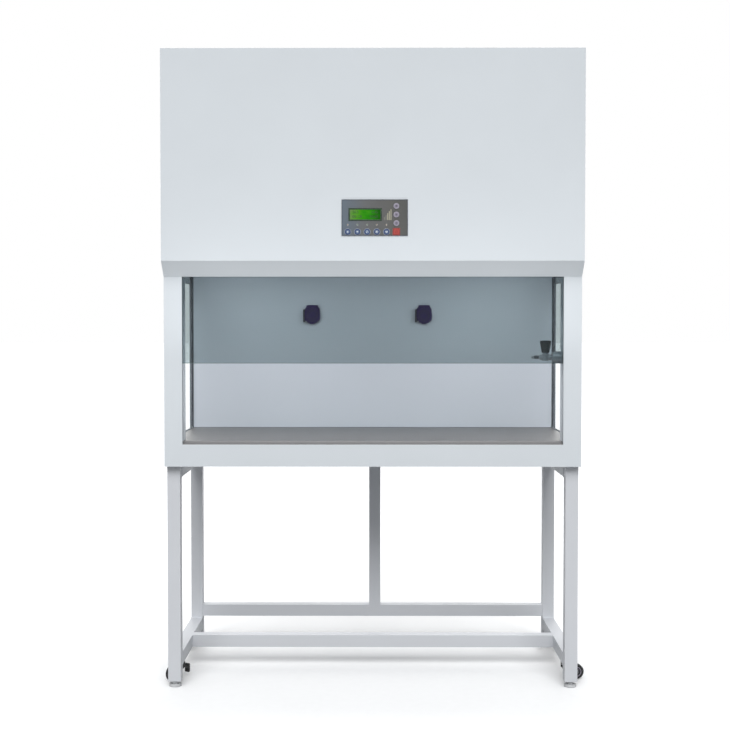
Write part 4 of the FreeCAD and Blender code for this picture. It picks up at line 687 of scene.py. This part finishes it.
screws("top_screws", FLAT_HEAD, [
    (x, y, TOP) for x in (-0.63, -0.32, 0.0, 0.32, 0.63) for y in (-0.300, 0.300)
], UP)
screws("grille_screws", FLAT_HEAD, [
    (x, y, TOP - SHEET) for x in (-0.457, 0.0, 0.457) for y in (-0.1575, 0.1575)
], UP)
for side, sign in SIDES:
    screws("side_screws_" + side, PAN_HEAD, [
        (sign * HALF, y, z) for y in (-0.295, 0.0, 0.295) for z in (1.365, 1.665, 1.965)
    ], (sign, 0, 0))
screws("rear_screws", PAN_HEAD, [
    (x, BACK, z) for xs, zs in (
        ((-0.632, 0.632), (0.73, 1.04, 1.35, 1.66, 1.96)),
        ((-0.316, 0.0, 0.316), (0.73, 1.30, 1.96)),
    ) for x in xs for z in zs
], BACKWARD)


# Stand: bolts that hold the mid rail and the cabinet, and the welds.

for side, sign in SIDES:
    turned("rail_bolts_" + side, scaled(HEX_HEAD, 0.75), [
        (sign * LEG_OUTER, MID_RAIL_Y + shift, MID_RAIL_Z) for shift in (-0.010, 0.010)
    ], (sign, 0, 0), DARK_STEEL, "root")
spots = [(sign * LEG_MIDDLE, y, TOP_TUBE_UNDER) for _, sign in SIDES for y in (-0.14, 0.18)]
spots += [(x, REAR_LEG_MIDDLE, TOP_TUBE_UNDER) for x in (-0.4, 0.4)]
turned("frame_bolts", HEX_HEAD, spots, DOWN, DARK_STEEL, "root")

welds = []
for _, sign in SIDES:
    inner, outer = sign * LEG_INNER, sign * LEG_OUTER
    for y in (FRONT_LEG_BACK, REAR_LEG_FRONT):
        for low, high, across in ((0.063, 0.103, 0.103), (0.663, 0.703, 0.663)):
            welds += [[(x, y, low), (x, y, high)] for x in (inner, outer)]
            welds.append([(inner, y, across), (outer, y, across)])
    welds += [[(inner, REAR_LEG_FRONT, z), (inner, REAR_LEG_BACK, z)] for z in REAR_RAIL]
    welds.append([(inner, REAR_LEG_FRONT, z) for z in REAR_RAIL])
for index, line in enumerate(welds):
    bead("weld_%02d" % index, line, 0.0016, FINISHES["painted_tube"], "root")


# Castors and feet.

# Grooves of the tread, as (depth under the tyre's radius, place across it).
TREAD = (
    (0.0008, -0.0075), (-0.0001, -0.0068), (-0.0001, -0.0046), (0.0006, -0.0042), (0.0006, -0.0034),
    (-0.0001, -0.0030), (-0.0001, -0.0004), (0.0006, 0.0), (-0.0001, 0.0004), (-0.0001, 0.0030),
    (0.0006, 0.0034), (0.0006, 0.0042), (-0.0001, 0.0046), (-0.0001, 0.0068), (0.0008, 0.0075),
)
HUB = [
    (0.0046, 0.0088), (0.0060, 0.0096), (0.0080, 0.0096), (0.0088, 0.0090), (0.0132, 0.0090),
    (0.0140, 0.0096), (0.0152, 0.0096), (0.0158, 0.0088),
]
AXLE_HEAD = [
    (0, 0.0162), (0.0044, 0.0162), (0.0056, 0.0156, 6), (0.0058, 0.0132, 6), (0.0068, 0.0132),
    (0.0068, 0.0124),
]
PEDAL_RIB = [
    (0, -0.0075), (0.0042, -0.0075), (0.0058, -0.0062), (0.0058, 0.0062), (0.0042, 0.0075),
    (0, 0.0075),
]
PEDAL_REACH = 0.0285
RIB_DROPS = (-0.0265, -0.0207, -0.0149, -0.0091)
SWIVEL_RACE = closed([
    (0.0171, -0.0070), (0.0180, -0.0064), (0.0183, -0.0048), (0.0180, -0.0032), (0.0171, -0.0026),
])
FOOT_SOLE = closed([
    (0.0186, 0.0003), (0.0192, 0.0004), (0.0194, 0.0010), (0.0194, 0.0018), (0.0191, 0.0022),
    (0.0186, 0.0022),
])
FOOT_WASHER = closed([
    (0.0063, 0.0086), (0.0105, 0.0086), (0.0108, 0.0089), (0.0108, 0.0095), (0.0104, 0.0098),
    (0.0063, 0.0098),
])


def joint(name):
    """A joint of the frame, or None."""
    return next((one for one in frame["joints"] if one["name"] == name), None)


for corner in CORNERS:
    low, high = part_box("castor_wheel_" + corner)
    tyre = (high.z - low.z) / 2
    roll = joint("castor_roll_" + corner)
    axle = Vector(roll["axis"])
    centre = Vector(roll["pos_m"])
    wheel, fork, foot = "wheel_" + corner, "fork_" + corner, "foot_" + corner
    turned("wheel_tread_" + corner, [(tyre - drop, at) for drop, at in TREAD], [centre], axle,
           FINISHES["wheel_rubber"], wheel, 48)
    for label, face in (("a", -1), ("b", 1)):
        turned("wheel_hub_%s_%s" % (corner, label), HUB, [centre], axle * face,
               FINISHES["key_grey"], wheel, 36)
        turned("axle_bolt_%s_%s" % (corner, label), AXLE_HEAD, [centre], axle * face,
               DARK_STEEL, fork)
    brake = joint("brake_" + corner)
    if brake:
        ahead = Vector(brake["axis"]).cross(Vector(UP))
        tip = Vector(brake["pos_m"]) + ahead * PEDAL_REACH
        turned("pedal_pad_" + corner, PEDAL_RIB, [tip + Vector((0, 0, drop)) for drop in RIB_DROPS],
               brake["axis"], FINISHES["wheel_rubber"], "pedal_" + corner, 28)
    pivot = joint("castor_swivel_" + corner)["pos_m"]
    turned("swivel_race_" + corner, SWIVEL_RACE, [pivot], UP, DARK_STEEL, fork, 40)
    low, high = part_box(foot)
    middle = (low + high) / 2
    ground = (middle.x, middle.y, 0)
    turned("foot_sole_" + corner, FOOT_SOLE, [ground], UP, SOLE, foot, 40)
    turned("foot_washer_" + corner, FOOT_WASHER, [ground], UP, DARK_STEEL, foot, 32)


# Control panel: rings, symbols, display and lamps.

PANEL_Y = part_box("control_panel")[0].y
KEY_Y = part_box("key_fan")[0].y
KEY_ROW = ("up", "down", "fan", "light", "uv")
KEY_COLUMN = ("mute", "menu", "timer")
MARK_RISE = 0.00022
KEY_HALO = closed([
    (0.0094, 0.0), (0.0094, 0.0004), (0.0097, 0.0005), (0.0104, 0.0005), (0.0107, 0.0004),
    (0.0107, 0.0),
])
KEY_DISC = [(0, 0.0003), (0.0050, 0.0003), (0.0056, 0.0002), (0.0058, -0.0001)]


def key_middle(name):
    """Middle of a key's face."""
    low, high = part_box("key_" + name)
    return (low.x + high.x) / 2, (low.z + high.z) / 2


def arrow(u, v, size, turn):
    """Triangle pointing up or down."""
    foot = v - turn * size * 0.6
    return [(u - size, foot), (u + size, foot), (u, v + turn * size * 0.9)]


def blade(u, v, size, angle):
    """One blade of a fan symbol."""
    a = math.radians(angle)
    out = (math.cos(a), math.sin(a))
    side = (-out[1], out[0])
    points = ((0.15, 0.0), (0.45, 0.28), (0.95, 0.42), (1.0, 0.05), (0.6, -0.10))
    return [
        (u + size * (p * out[0] + q * side[0]), v + size * (p * out[1] + q * side[1]))
        for p, q in points
    ]


def ray(u, v, angle):
    """One tapered ray of a sun symbol."""
    inner, outer = (0.0026, 0.16), (0.004, 0.1)
    corners = [(radius, angle - half) for radius, half in (inner, outer)]
    corners += [(radius, angle + half) for radius, half in (outer, inner)]
    return [(u + radius * math.cos(a), v + radius * math.sin(a)) for radius, a in corners]


def symbol(name, u, v):
    """Plain shapes of each key's symbol."""
    if name == "up":
        return [arrow(u, v, 0.0026, 1)]
    if name == "down":
        return [arrow(u, v, 0.0026, -1)]
    if name == "fan":
        return [blade(u, v, 0.0038, angle) for angle in (90, 210, 330)]
    if name == "light":
        return [arc(u, v, 0.0018, 0, 345, 14)] + [ray(u, v, k * math.pi / 4) for k in range(8)]
    if name == "uv":
        return [oblong(u, v, -0.0034, -0.0006, 0.0034, 0.0010),
                oblong(u, v, -0.0022, -0.0026, 0.0022, -0.0018)]
    if name == "mute":
        horn = ((-0.0030, -0.0012), (-0.0014, -0.0012), (0.0010, -0.0032),
                (0.0010, 0.0032), (-0.0014, 0.0012), (-0.0030, 0.0012))
        return [[(u + p, v + q) for p, q in horn], band(u + 0.0008, v, 0.0034, 0.0027, -45, 45, 6)]
    if name == "menu":
        return [oblong(u, v, -0.0030, k, 0.0030, k + 0.0009) for k in (-0.0026, -0.0005, 0.0016)]
    if name == "timer":
        return [band(u, v, 0.0034, 0.0027, 0, 359, 24),
                oblong(u, v, -0.0003, -0.0003, 0.0003, 0.0024),
                oblong(u, v, 0.0003, -0.0003, 0.0018, 0.0003)]
    return [band(u, v, 0.0044, 0.0034, 120, 420, 24),
            oblong(u, v, -0.0005, 0.0006, 0.0005, 0.0052)]


for name in (*KEY_ROW, *KEY_COLUMN):
    u, v = key_middle(name)
    face, ink, slot = KEY_DUSK, INK_DARK, "key_grey"
    if name in KEY_ROW:
        face, ink, slot = KEY_FACE, INK_PALE, "key_blue"
        turned("key_halo_" + name, KEY_HALO, [(u, PANEL_Y, v)], FORWARD, KEY_RIM, "root", 40)
    turned("key_face_" + name, KEY_DISC, [(u, KEY_Y, v)], FORWARD, face, "key_" + name, 32)
    plate("key_mark_" + name, symbol(name, u, v), KEY_Y - 0.0002, MARK_RISE, ink,
          "key_" + name)

u, v = key_middle("power")
front = PANEL_Y - 0.0005
rim, hole = 0.0112, 0.0094
bars("key_halo_power", [
    ((u - rim, front, v - rim), (u - hole, PANEL_Y, v + rim)),
    ((u + hole, front, v - rim), (u + rim, PANEL_Y, v + rim)),
    ((u - hole, front, v + hole), (u + hole, PANEL_Y, v + rim)),
    ((u - hole, front, v - rim), (u + hole, PANEL_Y, v - hole)),
], FINISHES["key_red"], "root", 0.0002)
plate("key_mark_power", symbol("power", u, v), KEY_Y, MARK_RISE, INK_RED, "key_power")

low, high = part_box("lcd_window")
bars("display_frame", border(low, high, low.y, 0.0006, 0.0046, 0.0046, 0.0046),
     LCD_FRAME, "root", 0.0002)
for row, lift, left, right in ((0, 0.0068, "26.5", "0.45"), (1, -0.0068, "00128", "30:00")):
    z = (low.z + high.z) / 2 + lift
    for end, text, x in (("left", left, low.x + 0.012), ("right", right, high.x - 0.012)):
        words("display_%s_%d" % (end, row), text, 0.0115, (x, low.y - 0.0001, z),
              LCD_DARK, "root", end.upper())

BARS_X, BARS_Z = 0.0345, 1.4661
for label, counts, ink in (("low", (0, 1), INK_DIM), ("high", (2, 3, 4), INK_CREAM)):
    plate("speed_bars_" + label, [
        oblong(BARS_X + count * 0.0050, BARS_Z, 0, 0, 0.003, 0.009 + count * 0.006)
        for count in counts
    ], PANEL_Y, 0.0002, ink, "root")
low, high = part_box("control_panel")
# Dark strips along the panel's edges: painted shadow.
bars("panel_edge", border(low, high, PANEL_Y, 0.0003, 0.0012, 0.002, 0.002),
     PANEL_EDGE_SHADE, "root", 0.0001)

PILOT_RISE = 0.0215
pilots = []
for name in KEY_ROW:
    u, v = key_middle(name)
    pilots.append((u, PANEL_Y, v + PILOT_RISE))
    turned("pilot_lens_" + name, [(0, 0.0010), (0.0010, 0.0008), (0.0016, 0.0004), (0.0019, 0.0)],
           pilots[-1:], FORWARD, LENS_GREEN if name in ("down", "fan") else LENS_AMBER,
           "root", 20)
turned("panel_lens_rims", closed([(0.0019, 0.0), (0.0019, 0.0005), (0.0025, 0.0005), (0.0026, 0.0)]),
       pilots, FORWARD, CHROME, "root", 20)


# Sockets.

SOCKET_FACE = WALL_FRONT - 0.006
LID_RING = closed([
    (0.0150, 0.0), (0.0150, 0.0008), (0.0160, 0.0012), (0.0182, 0.0012), (0.0190, 0.0006),
    (0.0190, 0.0),
])
for side, _ in SIDES:
    lid = "socket_lid_" + side
    low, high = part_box(lid)
    u = (low.x + high.x) / 2
    v = low.z + 0.028
    well = v + 0.0025
    turned("lid_ring_" + side, LID_RING, [(u, low.y, v)], FORWARD, LID_DARK, lid, 40)
    bars("lid_tab_" + side, [
        ((u - 0.009, low.y + 0.0045, low.z - 0.0030), (u + 0.009, low.y + 0.0085, low.z + 0.0015)),
    ], FINISHES["socket_violet"], lid, 0.0012)
    screws("socket_screws_" + side, scaled(PAN_HEAD, 0.8), [
        (u + shift, SOCKET_FACE, v - 0.0205) for shift in (-0.0196, 0.0196)
    ], FORWARD)
    # Dark block at the socket's left: partly a latch, partly painted shadow.
    bars("socket_latch_painted_shade_" + side, [
        ((u - 0.0320, WALL_FRONT - 0.018, v - 0.0245), (u - 0.0262, WALL_FRONT - 0.0002, v + 0.0215)),
    ], LATCH_PAINTED_SHADE, "root", 0.0015)
    turned("socket_seal_" + side, closed([
        (0.0222, 0.0), (0.0222, 0.0004), (0.0236, 0.00045), (0.0240, 0.0),
    ]), [(u, SOCKET_FACE, well)], FORWARD, SEAL, "root", 40)
    turned("socket_insert_" + side, [(0, 0.0012), (0.0180, 0.0012), (0.0196, 0.0006), (0.0202, 0.0)],
           [(u, WALL_FRONT + 0.010, well)], FORWARD, INSERT, "root", 40)
    plate("socket_slots_" + side, [
        oblong(u, v, -0.0085, -0.001, -0.0065, 0.006),
        oblong(u, v, 0.0065, -0.001, 0.0085, 0.006),
        oblong(u, v, -0.0010, -0.009, 0.0010, -0.003),
    ], WALL_FRONT + 0.0088, 0.0003, FINISHES["black_plastic"], "root")


# Service tap.

TAP_X, TAP_Y, TAP_Z = 0.543, -0.237, 1.044
BARBS_START = 0.5215
BONNET_TOP = 1.055
turned("tap_barbs", [
    (0.0046, 0.0), (0.0056, 0.0004), (0.0047, 0.0050), (0.0056, 0.0054), (0.0047, 0.0100),
    (0.0056, 0.0104), (0.0046, 0.0150),
], [(BARBS_START, TAP_Y, TAP_Z)], (-1, 0, 0), DARK_STEEL, "root", 28)
turned("tap_collar", closed([
    (0.0192, 0.0), (0.0204, 0.0004), (0.0206, 0.0016), (0.0192, 0.0022),
]), [(POST_INNER - 0.0002, TAP_Y, TAP_Z)], (-1, 0, 0), CHROME, "root", 36)
turned("tap_packing", closed([
    (0.0062, 0.0), (0.0090, 0.0, 6), (0.0092, 0.0004, 6), (0.0092, 0.0022, 6), (0.0062, 0.0026),
]), [(TAP_X, TAP_Y, BONNET_TOP)], UP, CHROME, "root", 24)
turned("knob_cap", [(0, 0.0009), (0.0070, 0.0008), (0.0086, 0.0004), (0.0090, -0.0002)],
       [(TAP_X, TAP_Y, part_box("tap_knob")[1].z)], UP, KEY_FACE, "tap_knob", 32)


# Lamps: metal caps at the tube ends.

TUBE_END = 0.4352
TUBE_Z = 1.342
for name, depth in (("work_lamp", -0.246), ("uv_lamp", -0.220)):
    for side, sign in SIDES:
        turned("%s_cap_%s" % (name, side), [
            (0.0081, 0.0), (0.0084, 0.0008), (0.0084, 0.0120), (0.0080, 0.0128), (0.0022, 0.0128),
        ], [(sign * TUBE_END, depth, TUBE_Z)], (sign, 0, 0), CHROME, "root", 28)


# Sash: polished edge and the clamp screws.

CLAMP_FACE = -0.2764
CLAMP_Z = 1.5725
low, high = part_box("sash_glass")
bars("sash_edge_low", [
    ((low.x, low.y + 0.0004, low.z), (high.x, high.y - 0.0004, low.z + 0.0014)),
], SASH_EDGE, "sash", 0.0004)
for side, sign in SIDES:
    screws("clamp_screws_" + side, PAN_HEAD, [
        (sign * x, CLAMP_FACE, CLAMP_Z) for x in (0.553, 0.577)
    ], FORWARD, "sash")


# Power inlet.

low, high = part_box("power_inlet")
middle = (low + high) / 2
bars("inlet_pins", [
    ((x - 0.001, BACK - 0.010, z - 0.003), (x + 0.001, BACK + 0.0005, z + 0.003))
    for x, z in (
        (middle.x - 0.0115, middle.z - 0.001), (middle.x - 0.001, middle.z + 0.002),
        (middle.x + 0.0095, middle.z - 0.001),
    )
], CHROME, "root", 0.0003)
screws("inlet_screws", scaled(FLAT_HEAD, 0.8), [
    (middle.x + shift, high.y, middle.z) for shift in (-0.0275, 0.0275)
], BACKWARD)


# Floor: plain and pale. What the camera sees of it glows around the cabinet's shadow, most at
# 2 to 3.5 m, so that it meets the white room. Its light on the cabinet comes from a darker grey.

FLOOR_HALF = 90
GLOW_REACH = 8
GLOW = ((0.09, 0.035), (0.24, 0.50), (0.42, 0.45), (0.85, 0.16))
floor_mesh = bpy.data.meshes.new("floor")
floor_mesh.from_pydata(
    [(x * FLOOR_HALF, y * FLOOR_HALF, 0) for x, y in ((-1, -1), (1, -1), (1, 1), (-1, 1))],
    [], [(0, 1, 2, 3)],
)
floor = bpy.data.objects.new("floor", floor_mesh)
bpy.context.scene.collection.objects.link(floor)
f = Finish("floor_paint")
grain = f.noise(40.0, 4.0)
pale = f.ramp(grain, (0.3, shade((238, 239, 240))), (0.7, shade((240, 241, 242))))
dim = f.ramp(grain, (0.3, shade((112, 113, 114))), (0.7, shade((116, 117, 118))))
pale_matt = f.add("ShaderNodeBsdfDiffuse", [("Color", pale)]).outputs[0]
dim_matt = f.add("ShaderNodeBsdfDiffuse", [("Color", dim)]).outputs[0]
away = f.add("ShaderNodeVectorMath", [(0, f.place), (1, (0, -0.7, 0))], operation="DISTANCE").outputs["Value"]
glow = f.ramp(f.spread(away, 0, 1, 0, GLOW_REACH), *(
    (share, (level, level, level, 1)) for share, level in GLOW
))
shine = f.add("ShaderNodeEmission", [("Color", (1, 1, 1, 1)), ("Strength", glow)]).outputs[0]
lit = f.add("ShaderNodeAddShader", [(0, pale_matt), (1, shine)]).outputs[0]
floor_mesh.materials.append(f.close(blended(f.tree, in_view(f.tree), dim_matt, lit)))


# World: white where it is seen, dimmer as a light.

world = bpy.data.worlds.new("studio")
bpy.context.scene.world = world
world.use_nodes = True
sky = world.node_tree
sky.nodes.clear()
room, white = (
    new_node(sky, "ShaderNodeBackground", [("Color", (1, 1, 1, 1)), ("Strength", strength)]).outputs[0]
    for strength in (0.58, 1.0)
)
new_node(sky, "ShaderNodeOutputWorld", [("Surface", blended(sky, in_view(sky), room, white))])


# Lamps of the studio.


def hang(name, data, aim, place=(0, 0, 0)):
    """Lamp turned to an aim."""
    thing = bpy.data.objects.new(name, data)
    thing.location = place
    thing.rotation_euler = Vector(aim).to_track_quat("-Z", "Y").to_euler()
    bpy.context.scene.collection.objects.link(thing)
    return thing


def lamp(name, wide, deep, power, place, target, spread=180):
    """Soft lamp aimed at a point."""
    data = bpy.data.lights.new(name, "AREA")
    data.shape = "RECTANGLE"
    data.size = wide
    data.size_y = deep
    data.energy = power
    data.spread = math.radians(spread)
    thing = hang(name, data, Vector(target) - Vector(place), place)
    thing.visible_camera = False
    thing.visible_glossy = False


def sun(name, power, wide, slope, toward):
    """Wide far light at a slope, shining toward the back (1) or the front (-1)."""
    data = bpy.data.lights.new(name, "SUN")
    data.energy = power
    data.angle = math.radians(wide)
    slope = math.radians(slope)
    hang(name, data, (0, toward * math.cos(slope), -math.sin(slope)))


lamp("bevel_lamp", 1.34, 0.05, 0.38, (0, -0.52, 0.93), (0, -0.302, 1.318), 70)
lamp("fill_lamp", 2.8, 0.3, 1.0, (0, -1.05, 0.25), (0, -0.3, 1.3), 50)
lamp("chamber_lamp", 1.16, 0.18, 2.6, (0, -0.08, CEILING - 0.020), (0, 0.14, 0.9))
for side, sign in SIDES:
    lamp("chamber_lamp_" + side, 0.26, 0.18, 0.75,
         (sign * 0.48, -0.08, CEILING - 0.024), (sign * 0.46, 0.14, 0.9))
sun("key_lamp", 2.26, 40, 45, 1)
sun("rear_lamp", 0.85, 60, 30, -1)
bpy.context.scene.view_settings.view_transform = "Standard"
